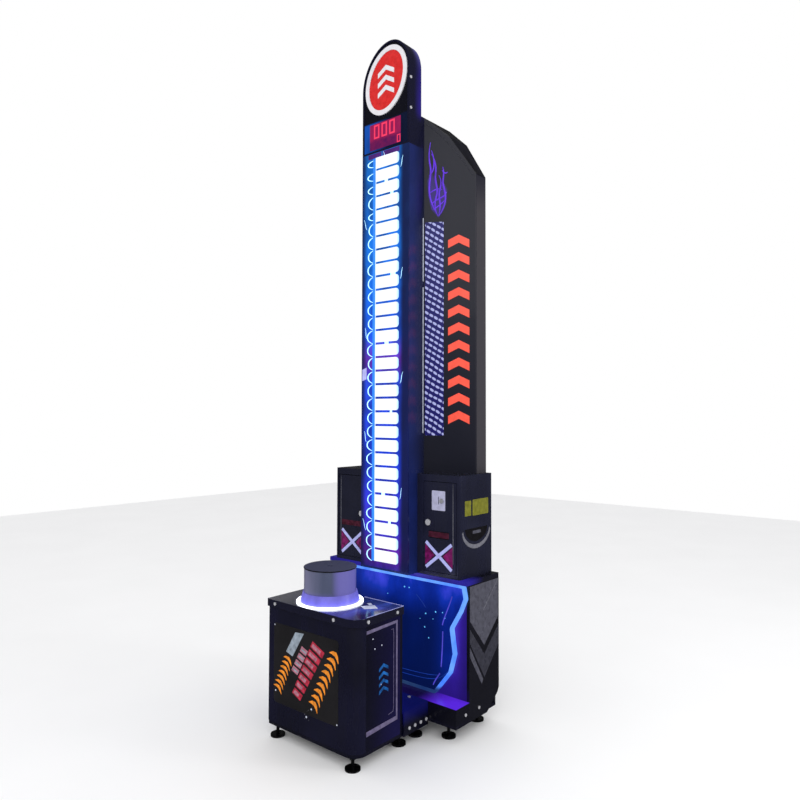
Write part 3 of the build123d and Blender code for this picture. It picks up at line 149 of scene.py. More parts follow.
def scaled(c, k):
    return tuple(min(1, v * k) for v in c)


# ------------------------------------------------------------ general materials


def paint(name, color, rough=0.25, coat=0.15, vary=0.25, peel=0.05, spec=0.25):
    """Lacquered board or powder-coated sheet with light orange peel and handling marks."""
    m, nt, b, co = base_mat(name, color, rough, 0, coat, spec)
    shade = tint(nt, noise(nt, co, 5, 4), scaled(color, 1 - vary), scaled(color, 1 + vary))
    nt.links.new(shade, b.inputs["Base Color"])
    smear = noise(nt, co, 14, 6, (1, 1, 0.25))
    nt.links.new(remap(nt, smear, 0.35, 0.75, rough * 0.8, rough * 1.6), b.inputs["Roughness"])
    bump(nt, b, noise(nt, co, 420, 2), peel)
    return m


def metal(name, color, rough=0.3, stretch=(1, 1, 40), strength=0.1, metallic=1.0):
    """Brushed or plated metal."""
    m, nt, b, co = base_mat(name, color, rough, metallic, 0, 0.5)
    lines = noise(nt, co, 60, 4, stretch)
    nt.links.new(remap(nt, lines, 0.3, 0.7, rough * 0.75, rough * 1.35), b.inputs["Roughness"])
    shade = tint(nt, noise(nt, co, 8, 4), scaled(color, 0.8), scaled(color, 1.1))
    nt.links.new(shade, b.inputs["Base Color"])
    bump(nt, b, lines, strength, 0.0004)
    return m


def rubber(name, color, rough=0.65):
    m, nt, b, co = base_mat(name, color, rough)
    grain = noise(nt, co, 700, 3)
    shade = tint(nt, noise(nt, co, 12, 5), scaled(color, 0.75), scaled(color, 1.3))
    nt.links.new(shade, b.inputs["Base Color"])
    nt.links.new(remap(nt, grain, 0.3, 0.7, rough * 0.85, min(1, rough * 1.15)), b.inputs["Roughness"])
    bump(nt, b, grain, 0.18, 0.0006)
    return m


def glow(name, color, strength, base=None, flicker=0.15, rough=0.3):
    """Lit diffuser, also used as a painted glow on marks that are no lamps: brightness drifts slightly, as lamps behind
    a diffuser do.
    """
    m, nt, b, co = base_mat(name, base or color, rough)
    drift = tint(nt, noise(nt, co, 18, 3), scaled(color, 1 - flicker), color)
    nt.links.new(drift, b.inputs["Emission Color"])
    b.inputs["Emission Strength"].default_value = strength
    bump(nt, b, noise(nt, co, 300, 2), 0.04)
    return m


def ink(name, color, rough=0.35, lit=0.25, worn=0.2):
    """Printed or vinyl decoration with some unevenness, faintly self-lit by the cabinet lamps."""
    m, nt, b, co = base_mat(name, color, rough)
    shade = tint(nt, noise(nt, co, 60, 5), scaled(color, 1 - worn), scaled(color, 1 + worn * 0.6))
    nt.links.new(shade, b.inputs["Base Color"])
    nt.links.new(shade, b.inputs["Emission Color"])
    b.inputs["Emission Strength"].default_value = lit
    nt.links.new(remap(nt, noise(nt, co, 30, 4), 0.3, 0.7, rough * 0.8, rough * 1.3), b.inputs["Roughness"])
    return m


def lit_black(name, color, glow_color, along, start, end, strength, rough=0.24):
    """Black lacquer that catches coloured lamp light, rising from start to end along one axis."""
    m, nt, b, co = base_mat(name, color, rough, 0, 0.15)
    drift = remap(nt, noise(nt, co, 6, 4), 0.3, 0.7, 0.7, 1.2)
    fac = times(nt, remap(nt, axes(nt, co)[along], start, end, 0, 1), drift, strength)
    b.inputs["Emission Color"].default_value = (*glow_color, 1)
    nt.links.new(fac, b.inputs["Emission Strength"])
    nt.links.new(tint(nt, noise(nt, co, 5, 4), scaled(color, 0.8), scaled(color, 1.2)), b.inputs["Base Color"])
    bump(nt, b, noise(nt, co, 420, 2), 0.05)
    return m


# ------------------------------------------------------------ special materials


def centre(node):
    lo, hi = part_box(node)
    return (lo + hi) / 2


def pad_material():
    """Grey moulded pad with painted shading, paler on the left and darker towards the right; a painted purple glow
    where the ring lamp catches its right edge and along its foot.
    """
    m, nt, b, co = base_mat("pad_grey", (0.13, 0.14, 0.24), 0.42, 0, 0.1)
    lo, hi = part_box("strike_pad")
    x, y, z = axes(nt, co)
    streak = noise(nt, co, 26, 4, (1, 1, 0.12))
    side = remap(nt, x, lo.x, hi.x, 0, 1, False)
    # Painted shading: paler on the left, darker towards the right.
    shade = ramp(nt, side, [(0, (0.13, 0.13, 0.22)), (0.3, (0.19, 0.19, 0.31)), (0.75, (0.075, 0.09, 0.16))])
    mix = nt.nodes.new("ShaderNodeMix")
    mix.data_type = "RGBA"
    mix.blend_type = "MULTIPLY"
    mix.inputs["Factor"].default_value = 1.0
    nt.links.new(shade, mix.inputs["A"])
    nt.links.new(tint(nt, streak, (0.8, 0.8, 0.8), (1, 1, 1)), mix.inputs["B"])
    nt.links.new(mix.outputs["Result"], b.inputs["Base Color"])
    b.inputs["Emission Color"].default_value = (0.28, 0.2, 0.95, 1)
    edge = remap(nt, side, 0.86, 0.97, 0, 0.30)
    # Painted purple glow along the pad's foot.
    low = remap(nt, z, lo.z, lo.z + 0.02, 0.1, 0)
    nt.links.new(math_(nt, "MAXIMUM", edge, low), b.inputs["Emission Strength"])
    bump(nt, b, noise(nt, co, 300, 3), 0.1)
    return m


def cap_material():
    """Blue-grey rubber disc with a black rim."""
    m, nt, b, co = base_mat("cap_rubber", (0.05, 0.055, 0.1), 0.55)
    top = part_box("strike_pad")[1].z
    z = axes(nt, co)[2]
    rim = remap(nt, z, top + 0.0042, top + 0.0049, 0, 1)
    nt.links.new(ramp(nt, rim, [(0, (0.003, 0.003, 0.004)), (1, (0.052, 0.056, 0.11))]), b.inputs["Base Color"])
    bump(nt, b, noise(nt, co, 500, 3), 0.2, 0.0006)
    return m


def boot_material():
    """Frosted purple-blue skirt, brightest where it meets the ring lamp."""
    m, nt, b, co = base_mat("boot_frosted", (0.12, 0.11, 0.45), 0.3, 0, 0.2)
    lo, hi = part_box("pad_boot")
    z = axes(nt, co)[2]
    up = remap(nt, z, lo.z, hi.z, 0, 1, False)
    hue = ramp(nt, up, [(0, (0.42, 0.48, 1.0)), (0.3, (0.16, 0.15, 0.8)), (1, (0.2, 0.18, 0.62))])
    nt.links.new(hue, b.inputs["Emission Color"])
    cloud = remap(nt, noise(nt, co, 22, 4, (1, 1, 0.3)), 0.3, 0.7, 0.55, 1.1)
    nt.links.new(times(nt, cloud, remap(nt, up, 0, 1, 0.75, 0.4)), b.inputs["Emission Strength"])
    b.inputs["Alpha"].default_value = 0.82
    bump(nt, b, noise(nt, co, 180, 3), 0.08)
    return m


def lid_material():
    """Gloss lid with painted reflections on its top face: a painted grey sheen on the left, and a painted blue wash on
    the right mirroring the lamps behind it.
    """
    m, nt, b, co = base_mat("lid_gloss", (0.03, 0.03, 0.05), 0.14, 0, 0.5)
    lo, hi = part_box("anvil_lid")
    x, y, z = axes(nt, co)
    on_top = remap(nt, z, hi.z - 0.0014, hi.z - 0.0002, 0, 1)
    wash = remap(nt, noise(nt, co, 9, 5, (1.4, 0.5, 1)), 0.42, 0.66, 0.12, 1.0)
    blue = remap(nt, x, -0.03, 0.12, 0.0, 1.0)
    away = remap(nt, y, lo.y, hi.y, 0, 1, False)
    hue = ramp(nt, away, [(0, (0.03, 0.04, 0.28)), (1, (0.08, 0.16, 0.95))])
    nt.links.new(hue, b.inputs["Emission Color"])
    nt.links.new(times(nt, wash, blue, on_top, 0.62), b.inputs["Emission Strength"])
    # Painted grey sheen on the left of the top face.
    grey = times(nt, remap(nt, x, -0.2, 0.02, 1.0, 0.0), on_top)
    nt.links.new(ramp(nt, grey, [(0, (0.006, 0.006, 0.018)), (1, (0.13, 0.13, 0.15))]), b.inputs["Base Color"])
    return m


def blue_panel_material():
    """Tinted acrylic front, washed in blue from the strip round its edge."""
    m, nt, b, co = base_mat("acrylic_blue", (0.002, 0.004, 0.03), 0.12, 0, 0.4)
    lo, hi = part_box("front_panel")
    x, y, z = axes(nt, co)
    edge = remap(nt, math_(nt, "ABSOLUTE", x), 0.16, 0.33, 0.12, 0.9)
    top = remap(nt, z, hi.z - 0.16, hi.z, 0.1, 0.95)
    low = remap(nt, z, lo.z, lo.z + 0.12, 0.35, 1.0)
    fac = times(nt, math_(nt, "MAXIMUM", math_(nt, "MULTIPLY", edge, 0.7), top), low)
    fac = times(nt, fac, remap(nt, noise(nt, co, 7, 5, (1, 1, 0.6)), 0.35, 0.7, 0.5, 1.1))
    nt.links.new(ramp(nt, fac, [(0.0, (0.001, 0.006, 0.05)), (0.35, (0.002, 0.016, 0.24)),
                                (0.7, (0.006, 0.035, 0.5)), (1.0, (0.06, 0.08, 0.95))]), b.inputs["Emission Color"])
    b.inputs["Emission Strength"].default_value = 0.8
    bump(nt, b, noise(nt, co, 60, 3), 0.02)
    return m


def strip_material():
    """Light strip that drifts between blue and azure; its foot run is nearly dark."""
    m, nt, b, co = base_mat("strip_blue", (0.01, 0.03, 0.15), 0.3)
    lo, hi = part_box("light_strip")
    z = axes(nt, co)[2]
    hue = tint(nt, noise(nt, co, 9, 4), (0.03, 0.15, 0.85), (0.20, 0.46, 1.0))
    nt.links.new(hue, b.inputs["Emission Color"])
    nt.links.new(remap(nt, z, lo.z + 0.014, lo.z + 0.04, 0.1, 1.15), b.inputs["Emission Strength"])
    return m


def cheek_material():
    """Violet light on the cheeks beside the strip; the rear face stays dark."""
    m, nt, b, co = base_mat("cheek_purple", (0.006, 0.004, 0.03), 0.25, 0, 0.2)
    lo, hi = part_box("cheek_panel")
    x, y, z = axes(nt, co)
    drift = remap(nt, noise(nt, co, 5, 4), 0.3, 0.7, 0.7, 1.2)
    height = ramp(nt, remap(nt, z, lo.z, hi.z, 0, 1, False),
                  [(0, (0.15, 0.15, 0.15)), (0.12, (0.35, 0.35, 0.35)), (0.45, (1, 1, 1)), (1, (0.8, 0.8, 0.8))])
    outer = remap(nt, math_(nt, "ABSOLUTE", x), 0.29, 0.352, 1.0, 0.35)
    face = remap(nt, y, lo.y + 0.002, lo.y + 0.010, 1.0, 0.04)
    fac = times(nt, height, drift, outer, face)
    nt.links.new(ramp(nt, fac, [(0, (0.004, 0.002, 0.03)), (0.5, (0.028, 0.010, 0.28)), (1, (0.075, 0.025, 0.62))]),
                 b.inputs["Emission Color"])
    b.inputs["Emission Strength"].default_value = 0.9
    bump(nt, b, noise(nt, co, 300, 2), 0.05)
    return m


def tower_front_material():
    """Smoked front of the column with a painted lamp glow: azure beside the bars, navy at its edges, violet low down.
    """
    m, nt, b, co = base_mat("smoked_front", (0.007, 0.011, 0.06), 0.16, 0, 0.3)
    lo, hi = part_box("tower_front")
    blo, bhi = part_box("light_bars")
    x, y, z = axes(nt, co)
    up = remap(nt, z, lo.z, hi.z, 0, 1, False)
    hue = ramp(nt, up, [(0.0, (0.03, 0.012, 0.28)), (0.035, (0.14, 0.010, 0.36)), (0.08, (0.05, 0.025, 0.60)),
                        (0.25, (0.008, 0.045, 0.7)), (0.44, (0.02, 0.07, 0.75)), (0.49, (0.16, 0.02, 0.5)),
                        (0.55, (0.008, 0.09, 0.75)), (0.72, (0.004, 0.17, 0.75)), (1.0, (0.003, 0.17, 0.62))])
    left = remap(nt, x, lo.x + 0.004, lo.x + 0.032, 0.12, 1.0)
    right = remap(nt, x, bhi.x - 0.004, bhi.x + 0.024, 1.0, 0.05)
    cloud = remap(nt, noise(nt, co, 11, 6, (1.5, 1, 0.7)), 0.3, 0.7, 0.45, 1.15)
    nt.links.new(hue, b.inputs["Emission Color"])
    nt.links.new(times(nt, left, right, cloud), b.inputs["Emission Strength"])
    bump(nt, b, noise(nt, co, 300, 2), 0.03)
    return m


def bar_material():
    """Bars: white diffusers with a cold right end; the root strip on their left is azure."""
    m, nt, b, co = base_mat("bar_white", (0.02, 0.05, 0.12), 0.3)
    lo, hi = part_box("light_bars")
    x, y, z = axes(nt, co)
    across = remap(nt, x, lo.x, hi.x, 0, 1, False)
    hue = ramp(nt, across, [(0.0, (0.01, 0.17, 0.80)), (0.105, (0.03, 0.26, 0.90)), (0.118, (0.92, 0.97, 1.0)),
                            (0.90, (0.95, 0.98, 1.0)), (1.0, (0.45, 0.78, 1.0))])
    nt.links.new(hue, b.inputs["Emission Color"])
    drift = remap(nt, noise(nt, co, 14, 3), 0.3, 0.7, 0.94, 1.08)
    nt.links.new(times(nt, drift, 1.12), b.inputs["Emission Strength"])
    return m


def sign_plate_material():
    """Black above the score card; below it the lamps light the left side blue."""
    m, nt, b, co = base_mat("sign_black", (0.004, 0.004, 0.010), 0.3)
    clo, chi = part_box("score_figures")
    lo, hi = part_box("sign_plate")
    x, y, z = axes(nt, co)
    low = remap(nt, z, chi.z + 0.004, chi.z + 0.012, 1, 0)
    left = remap(nt, x, lo.x + 0.02, 0.03, 1, 0.06)
    cloud = remap(nt, noise(nt, co, 12, 5), 0.3, 0.7, 0.6, 1.1)
    b.inputs["Emission Color"].default_value = (0.004, 0.075, 0.42, 1)
    nt.links.new(times(nt, low, left, cloud), b.inputs["Emission Strength"])
    bump(nt, b, noise(nt, co, 420, 2), 0.05)
    return m


def figures_material():
    """Lit red strokes standing proud of a dark magenta card."""
    m, nt, b, co = base_mat("score_red", (0.03, 0.002, 0.02), 0.3)
    lo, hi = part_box("score_figures")
    x, y, z = axes(nt, co)
    raised = remap(nt, y, lo.y + 0.0004, lo.y + 0.0012, 1, 0)
    drift = remap(nt, noise(nt, co, 40, 3), 0.3, 0.7, 0.8, 1.1)
    low = remap(nt, z, lo.z + 0.03, lo.z + 0.05, 0, 0.12)
    hue = ramp(nt, math_(nt, "ADD", low, times(nt, raised, drift)),
               [(0, (0.012, 0.006, 0.10)), (0.12, (0.065, 0.004, 0.075)), (0.5, (0.75, 0.02, 0.09)),
                (1, (0.95, 0.05, 0.12))])
    nt.links.new(hue, b.inputs["Emission Color"])
    nt.links.new(remap(nt, raised, 0, 1, 0.85, 1.05), b.inputs["Emission Strength"])
    return m


def band_material():
    """Woven band of light and dark blue lozenges, with a faint painted glow."""
    m, nt, b, co = base_mat("checker_band", (0.02, 0.02, 0.16), 0.35)
    mp = nt.nodes.new("ShaderNodeMapping")
    mp.inputs["Rotation"].default_value = (0, 0, math.radians(-31))
    nt.links.new(co, mp.inputs["Vector"])
    u, v, z = axes(nt, mp.outputs[0])
    wobble = remap(nt, noise(nt, co, 9, 2), 0.3, 0.7, -0.5, 0.5)
    rows = math_(nt, "ADD", math_(nt, "ADD", times(nt, z, 250), times(nt, u, 150)), wobble)
    columns = math_(nt, "ADD", times(nt, z, -60), times(nt, u, 300))
    weave = times(nt, math_(nt, "SINE", rows), math_(nt, "ADD", times(nt, math_(nt, "SINE", columns), 0.55), 0.7))
    lozenge = remap(nt, weave, 0.12, 0.36, 0, 1)
    hue = ramp(nt, lozenge, [(0, (0.004, 0.003, 0.10)), (1, (0.30, 0.32, 0.58))])
    nt.links.new(hue, b.inputs["Base Color"])
    nt.links.new(hue, b.inputs["Emission Color"])
    b.inputs["Emission Strength"].default_value = 0.35
    bump(nt, b, lozenge, 0.2, 0.0005)
    return m


def head_material():
    """Navy head casing: violet light creeps round its rear edge, above the wings."""
    m, nt, b, co = base_mat("head_navy", (0.006, 0.006, 0.022), 0.22, 0, 0.2)
    lo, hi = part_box("head_shell")
    x, y, z = axes(nt, co)
    wing_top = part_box("wing_right")[1].z
    rear = remap(nt, y, lo.y + 0.03, lo.y + 0.09, 0.0, 1.0)
    high = remap(nt, z, wing_top - 0.03, wing_top + 0.02, 0.0, 1.0)
    drift = remap(nt, noise(nt, co, 7, 4, (1, 1, 0.5)), 0.3, 0.7, 0.35, 1.15)
    lift = remap(nt, z, hi.z - 0.16, hi.z - 0.02, 0, 1)
    nt.links.new(ramp(nt, lift, [(0, (0.022, 0.008, 0.24)), (1, (0.16, 0.15, 0.55))]), b.inputs["Emission Color"])
    inner_y = hi.y - HEAD_STEP
    back = remap(nt, y, inner_y - 0.002, inner_y - 0.0004, 1.0, 0.12)
    nt.links.new(times(nt, rear, high, drift, back), b.inputs["Emission Strength"])
    bump(nt, b, noise(nt, co, 420, 2), 0.05)
    return m


def plinth_material():
    """Black step with a painted violet glow on its upper face below the two cheeks, standing in for the light they
    cast.
    """
    m, nt, b, co = base_mat("plinth_black", (0.004, 0.004, 0.010), 0.24, 0, 0.15)
    lo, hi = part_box("plinth_step")
    x, y, z = axes(nt, co)
    on_top = remap(nt, z, hi.z - 0.002, hi.z - 0.0001, 0, 1)
    outer = remap(nt, math_(nt, "ABSOLUTE", x), 0.17, 0.27, 0.06, 1.0)
    drift = remap(nt, noise(nt, co, 6, 4), 0.3, 0.7, 0.75, 1.15)
    b.inputs["Emission Color"].default_value = (0.085, 0.016, 0.62, 1)
    nt.links.new(times(nt, on_top, outer, drift), b.inputs["Emission Strength"])
    bump(nt, b, noise(nt, co, 420, 2), 0.05)
    return m


def wing_material():
    """Satin black wing with a painted highlight along its folded rear edge, weaker higher up."""
    m, nt, b, co = base_mat("wing_black", (0.010, 0.011, 0.026), 0.4, 0, 0.05)
    x, y, z = axes(nt, co)
    # Painted highlight: the folded rear edge is paler.
    fold_highlight = remap(nt, y, FOLD_Y - 0.004, FOLD_Y + 0.006, 0, 1)
    fold_highlight = times(nt, fold_highlight, remap(nt, z, 2.0, 2.2, 1, 0.2))
    cloud = remap(nt, noise(nt, co, 3, 4, (1, 1, 0.4)), 0.3, 0.7, 0.0, 0.12)
    shade = math_(nt, "ADD", fold_highlight, cloud)
    nt.links.new(ramp(nt, shade, [(0, (0.006, 0.007, 0.020)), (1, (0.050, 0.046, 0.056))]), b.inputs["Base Color"])
    bump(nt, b, noise(nt, co, 420, 2), 0.05)
    return m


FOLD_Y = 0.272
HEAD_STEP = 0.020
BLACK = (0.005, 0.005, 0.013)

m_board = paint("lacquer_black", BLACK, 0.26)
m_anvil = paint("anvil_black", (0.006, 0.006, 0.020), 0.3)
# The right panel's base is half as bright as the front's: painted shade on that side, under its painted lamp glow.
m_anvil_side = lit_black("anvil_side_black", (0.003, 0.003, 0.010), (0.006, 0.004, 0.05), 1, -0.3, -0.1, 0.6)
m_side = paint("lacquer_side", (0.006, 0.006, 0.011), 0.22)
m_sheet = paint("sheet_black", (0.013, 0.014, 0.032), 0.28)
m_pad_cap = rubber("buffer_rubber", (0.012, 0.012, 0.014), 0.5)
m_zinc = metal("zinc", (0.62, 0.62, 0.66), 0.35, metallic=0.35)
m_steel = metal("stainless", (0.50, 0.51, 0.55), 0.35, metallic=0.5)
m_galv = metal("galvanised", (0.36, 0.37, 0.39), 0.45, (1, 1, 1), 0.2, 0.5)
m_feet = metal("foot_steel", (0.045, 0.045, 0.05), 0.22, (1, 1, 8))
m_brass = metal("brass", (0.6, 0.42, 0.16), 0.3, metallic=0.6)
m_plastic = paint("plastic_black", (0.006, 0.006, 0.009), 0.42, 0.0)
m_circuit = paint("circuit_green", (0.01, 0.11, 0.04), 0.4)
m_plate = ink("plate_pale", (0.40, 0.40, 0.56), 0.4, 0.1, 0.15)
m_trim = ink("trim_lilac_grey", (0.13, 0.11, 0.20), 0.3, 0.1, 0.3)
m_ring = glow("ring_white", (0.86, 0.9, 1.0), 2.2, flicker=0.05)
m_arc = glow("arc_blue", (0.42, 0.78, 1.0), 1.3, flicker=0.4)
m_dot = glow("pin_light", (0.10, 0.42, 0.75), 1.0, flicker=0.5)
m_line = glow("line_blue", (0.01, 0.05, 0.42), 0.8, (0.003, 0.01, 0.06), 0.5)
# Painted reflection of the light strip inside the panel.
m_strip_reflection = glow("strip_reflection", (0.10, 0.08, 0.75), 0.9, (0.02, 0.02, 0.1), 0.5)
m_sign_white = ink("sign_white", (0.74, 0.73, 0.77), 0.3, 0.02, 0.08)
m_sign_red = ink("sign_red", (0.56, 0.016, 0.016), 0.3, 0.2, 0.15)
m_orange = ink("ink_orange", (0.80, 0.25, 0.015), 0.35, 0.12, 0.35)
m_red = ink("ink_red", (0.42, 0.02, 0.05), 0.35, 0.15, 0.6)
m_pale_red = ink("ink_pale_red", (0.42, 0.16, 0.22), 0.35, 0.1, 0.5)
m_coral = ink("ink_coral", (0.86, 0.085, 0.05), 0.35, 0.15, 0.1)
m_silver = ink("ink_silver", (0.27, 0.32, 0.38), 0.3, 0.05, 0.35)
m_cyan = ink("ink_cyan", (0.004, 0.09, 0.32), 0.35, 0.2, 0.6)
m_white = ink("ink_white", (0.55, 0.58, 0.70), 0.35, 0.15, 0.25)
m_cross = ink("ink_cross", (0.40, 0.42, 0.78), 0.35, 0.2, 0.15)
m_magenta = ink("ink_magenta", (0.16, 0.004, 0.09), 0.4, 0.2, 0.7)
m_maroon = ink("ink_maroon", (0.06, 0.006, 0.02), 0.4, 0.2, 0.6)
# Printed purple flame lines and the dusky field behind them, given a painted glow that stands in for lamp light.
m_purple = glow("ink_purple", (0.16, 0.04, 0.80), 0.75, (0.05, 0.02, 0.3), 0.6)
m_flame_body = glow("flame_dusk", (0.020, 0.006, 0.16), 0.9, (0.01, 0.005, 0.06), 0.8)
m_violet = glow("band_violet", (0.07, 0.013, 0.17), 0.9, (0.03, 0.01, 0.08), 0.6)
m_olive = ink("ink_olive", (0.17, 0.17, 0.015), 0.35, 0.1, 0.3)
m_grey = ink("ink_grey", (0.035, 0.035, 0.05), 0.3, 0.05, 0.3)
m_midgrey = ink("ink_mid_grey", (0.075, 0.075, 0.10), 0.3, 0.05, 0.3)
m_lightgrey = ink("ink_light_grey", (0.15, 0.15, 0.18), 0.3, 0.05, 0.2)
m_inset = paint("inset_black", (0.013, 0.012, 0.014), 0.35)
# Black used as a painted shadow inside the module lips.
m_painted_shadow = ink("painted_shadow_black", (0.006, 0.005, 0.008), 0.35, 0.0, 0.4)

LOOK = {
    m_board: "anvil_left_panel anvil_back_panel main_base main_back rear_door front_base",
    m_anvil: "anvil_front_panel",
    m_anvil_side: "anvil_right_panel",
    m_side: "main_side_left main_side_right",
    wing_material(): "wing_left wing_right",
    paint("roof_black", BLACK, 0.35): "roof_cap tower_back",
    m_sheet: "module_body_left module_body_right coin_door service_door",
    m_pad_cap: "impact_buffer",
    cap_material(): "pad_cap",
    m_zinc: "front_screws side_screws coin_lock service_lock rear_lock",
    m_steel: "plunger return_spring reject_button",
    m_plate: "coin_plate",
    m_galv: "anvil_stand cash_box power_supply",
    m_feet: "front_feet main_feet",
    m_brass: "guide_bush",
    m_plastic: "coin_mech return_flap mains_inlet power_switch",
    m_circuit: "led_board control_board",
    m_ring: "light_ring",
    bar_material(): "light_bars",
    strip_material(): "light_strip",
    m_sign_white: "sign_ring sign_emblem",
    m_sign_red: "sign_disc",
    pad_material(): "strike_pad",
    boot_material(): "pad_boot",
    lid_material(): "anvil_lid",
    blue_panel_material(): "front_panel",
    cheek_material(): "cheek_panel",
    tower_front_material(): "tower_front",
    sign_plate_material(): "sign_plate",
    figures_material(): "score_figures",
    plinth_material(): "plinth_step",
    lit_black("deck_black", BLACK, (0.03, 0.02, 0.45), 1, 0.24, 0.12, 0.6): "deck",
    lit_black("column_navy", (0.006, 0.008, 0.03), (0.006, 0.014, 0.10), 1, 0.17, 0.07, 0.8): "tower_channel",
    head_material(): "head_shell",
    lit_black("bridge_black", (0.004, 0.004, 0.012), (0.004, 0.006, 0.16), 2, 0.07, 0.129, 0.5): "bridge_cover",
}
for look, names in LOOK.items():
    for n in names.split():
        o = NODES[n]
        if not o.material_slots:
            o.data.materials.append(look)
        for s in o.material_slots:
            s.material = look

# ------------------------------------------------------------ placing and shaping


def front(y):
    """Face that looks towards the player: a is X, b is Z, d stands proud of it, all in mm."""
    return lambda a, b, d: Vector((a * MM, y - d * MM, b * MM))


def right(x):
    return lambda a, b, d: Vector((x + d * MM, a * MM, b * MM))


def left(x):
    return lambda a, b, d: Vector((x - d * MM, a * MM, b * MM))


def top(z):
    return lambda a, b, d: Vector((a * MM, b * MM, z + d * MM))


wlo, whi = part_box("wing_right")
tlo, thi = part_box("tower_channel")
FLARE_A = Vector((thi.x, thi.y, 0))
FLARE_B = Vector((whi.x, FOLD_Y, 0))
FLARE_D = (FLARE_B - FLARE_A).normalized()
FLARE_N = Vector((FLARE_D.y, -FLARE_D.x, 0))


def flare(side):
    """Slanted face of a wing: a runs along it from the column, b is Z."""
    def place(a, b, d):
        p = FLARE_A + FLARE_D * (a * MM) + FLARE_N * (d * MM)
        return Vector((side * p.x, p.y, b * MM))
    return place


def finish(o, mat, body, smooth=False):
    o.data.materials.append(mat)
    bpy.context.collection.objects.link(o)
    for p in o.data.polygons:
        p.use_smooth = smooth
    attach(o, body)
    return o


def inward(pts, i):
    """Unit normal at corner i of an anticlockwise outline, pointing inside."""
    a, b, c = (Vector(pts[k]) for k in (i - 1, i, (i + 1) % len(pts)))
    e = (b - a).normalized() + (c - b).normalized()
    n = Vector((-e.y, e.x))
    return n.normalized() if n.length > 1e-6 else Vector((a.y - b.y, b.x - a.x)).normalized()


def plates(name, shapes, place, thick, mat, body="machine", chamfer=0.25):
    """Thin raised shapes with chamfered edges; shapes are outlines in the face's own millimetres."""
    bm = bmesh.new()
    shoulder = thick - min(chamfer, thick * 0.5)
    for pts in shapes:
        n = len(pts)
        area = sum(pts[i - 1][0] * pts[i][1] - pts[i][0] * pts[i - 1][1] for i in range(n))
        if area < 0:
            pts = pts[::-1]
        rings = []
        for d, inset in ((0.0, 0.0), (shoulder, 0.0), (thick, chamfer)):
            spots = [Vector(pts[i]) + inward(pts, i) * inset for i in range(n)]
            rings.append([bm.verts.new(place(p.x, p.y, d)) for p in spots])
        for r in range(2):
            for i in range(n):
                j = (i + 1) % n
                bm.faces.new((rings[r][i], rings[r][j], rings[r + 1][j], rings[r + 1][i]))
        bm.faces.new(rings[2])
        bm.faces.new(rings[0][::-1])
    bmesh.ops.recalc_face_normals(bm, faces=bm.faces)
    bmesh.ops.triangulate(bm, faces=[f for f in bm.faces if len(f.verts) > 4])
    me = bpy.data.meshes.new(name)
    bm.to_mesh(me)
    bm.free()
    return finish(bpy.data.objects.new(name, me), mat, body)


def tube(name, lines, radius, mat, place=None, body="machine", closed=False, taper=False, straight=False):
    """Round or tapering strokes through points on a face, made into a mesh; radius in mm."""
    cu = bpy.data.curves.new(name, "CURVE")
    cu.dimensions = "3D"
    cu.bevel_depth = radius * MM
    cu.bevel_resolution = 2
    cu.use_fill_caps = True
    for pts in lines:
        sp = cu.splines.new("NURBS")
        sp.points.add(len(pts) - 1)
        for i, p in enumerate(pts):
            sp.points[i].co = (*place(p[0], p[1], LINE_LIFT), 1)
            if taper:
                sp.points[i].radius = 0.25 + 1.1 * math.sin(math.pi * (0.05 + 0.9 * i / (len(pts) - 1)))
        sp.order_u = 2 if straight else min(4, len(pts))
        sp.use_endpoint_u = not closed
        sp.use_cyclic_u = closed
        sp.resolution_u = 6
    path = bpy.data.objects.new(name + "_path", cu)
    bpy.context.collection.objects.link(path)
    dg = bpy.context.evaluated_depsgraph_get()
    me = bpy.data.meshes.new_from_object(path.evaluated_get(dg))
    bpy.data.objects.remove(path)
    me.materials.clear()
    return finish(bpy.data.objects.new(name, me), mat, body, True)


LINE_LIFT = 0.6


def arc_points(cx, cy, rx, ry, a0, a1, k):
    """Points from angle a0 to a1 in degrees round an ellipse."""
    out = []
    for i in range(k):
        a = math.radians(a0 + (a1 - a0) * i / (k - 1))
        out.append((cx + rx * math.cos(a), cy + ry * math.sin(a)))
    return out


def disc(cx, cy, r, k=16, tall=1.0):
    return arc_points(cx, cy, r, r * tall, 0, 360 - 360 / k, k)


def rrect(x0, x1, y0, y1, r, k=5):
    return (arc_points(x1 - r, y0 + r, r, r, -90, 0, k) + arc_points(x1 - r, y1 - r, r, r, 0, 90, k)
            + arc_points(x0 + r, y1 - r, r, r, 90, 180, k) + arc_points(x0 + r, y0 + r, r, r, 180, 270, k))


def rect(x0, x1, y0, y1):
    return [(x0, y0), (x1, y0), (x1, y1), (x0, y1)]


def mirror(shapes):
    return [[(-x, y) for x, y in s] for s in shapes]


def stroke(a, b, w0, w1=None):
    """Tapered bar from a to b."""
    w1 = w0 if w1 is None else w1
    d = Vector((b[0] - a[0], b[1] - a[1])).normalized()
    n = Vector((-d.y, d.x))
    return [(a[0] + n.x * w0 / 2, a[1] + n.y * w0 / 2), (a[0] - n.x * w0 / 2, a[1] - n.y * w0 / 2),
            (b[0] - n.x * w1 / 2, b[1] - n.y * w1 / 2), (b[0] + n.x * w1 / 2, b[1] + n.y * w1 / 2)]


def slab(origin, along, across, s0, s1, t0, t1, lean=0.0):
    """Slanted block between s0 and s1 along a line and t0 and t1 across it."""
    o, u, n = Vector(origin), Vector(along), Vector(across)
    corners = ((s0, t0), (s1, t0), (s1 + lean, t1), (s0 + lean, t1))
    return [tuple(o + u * s + n * t) for s, t in corners]


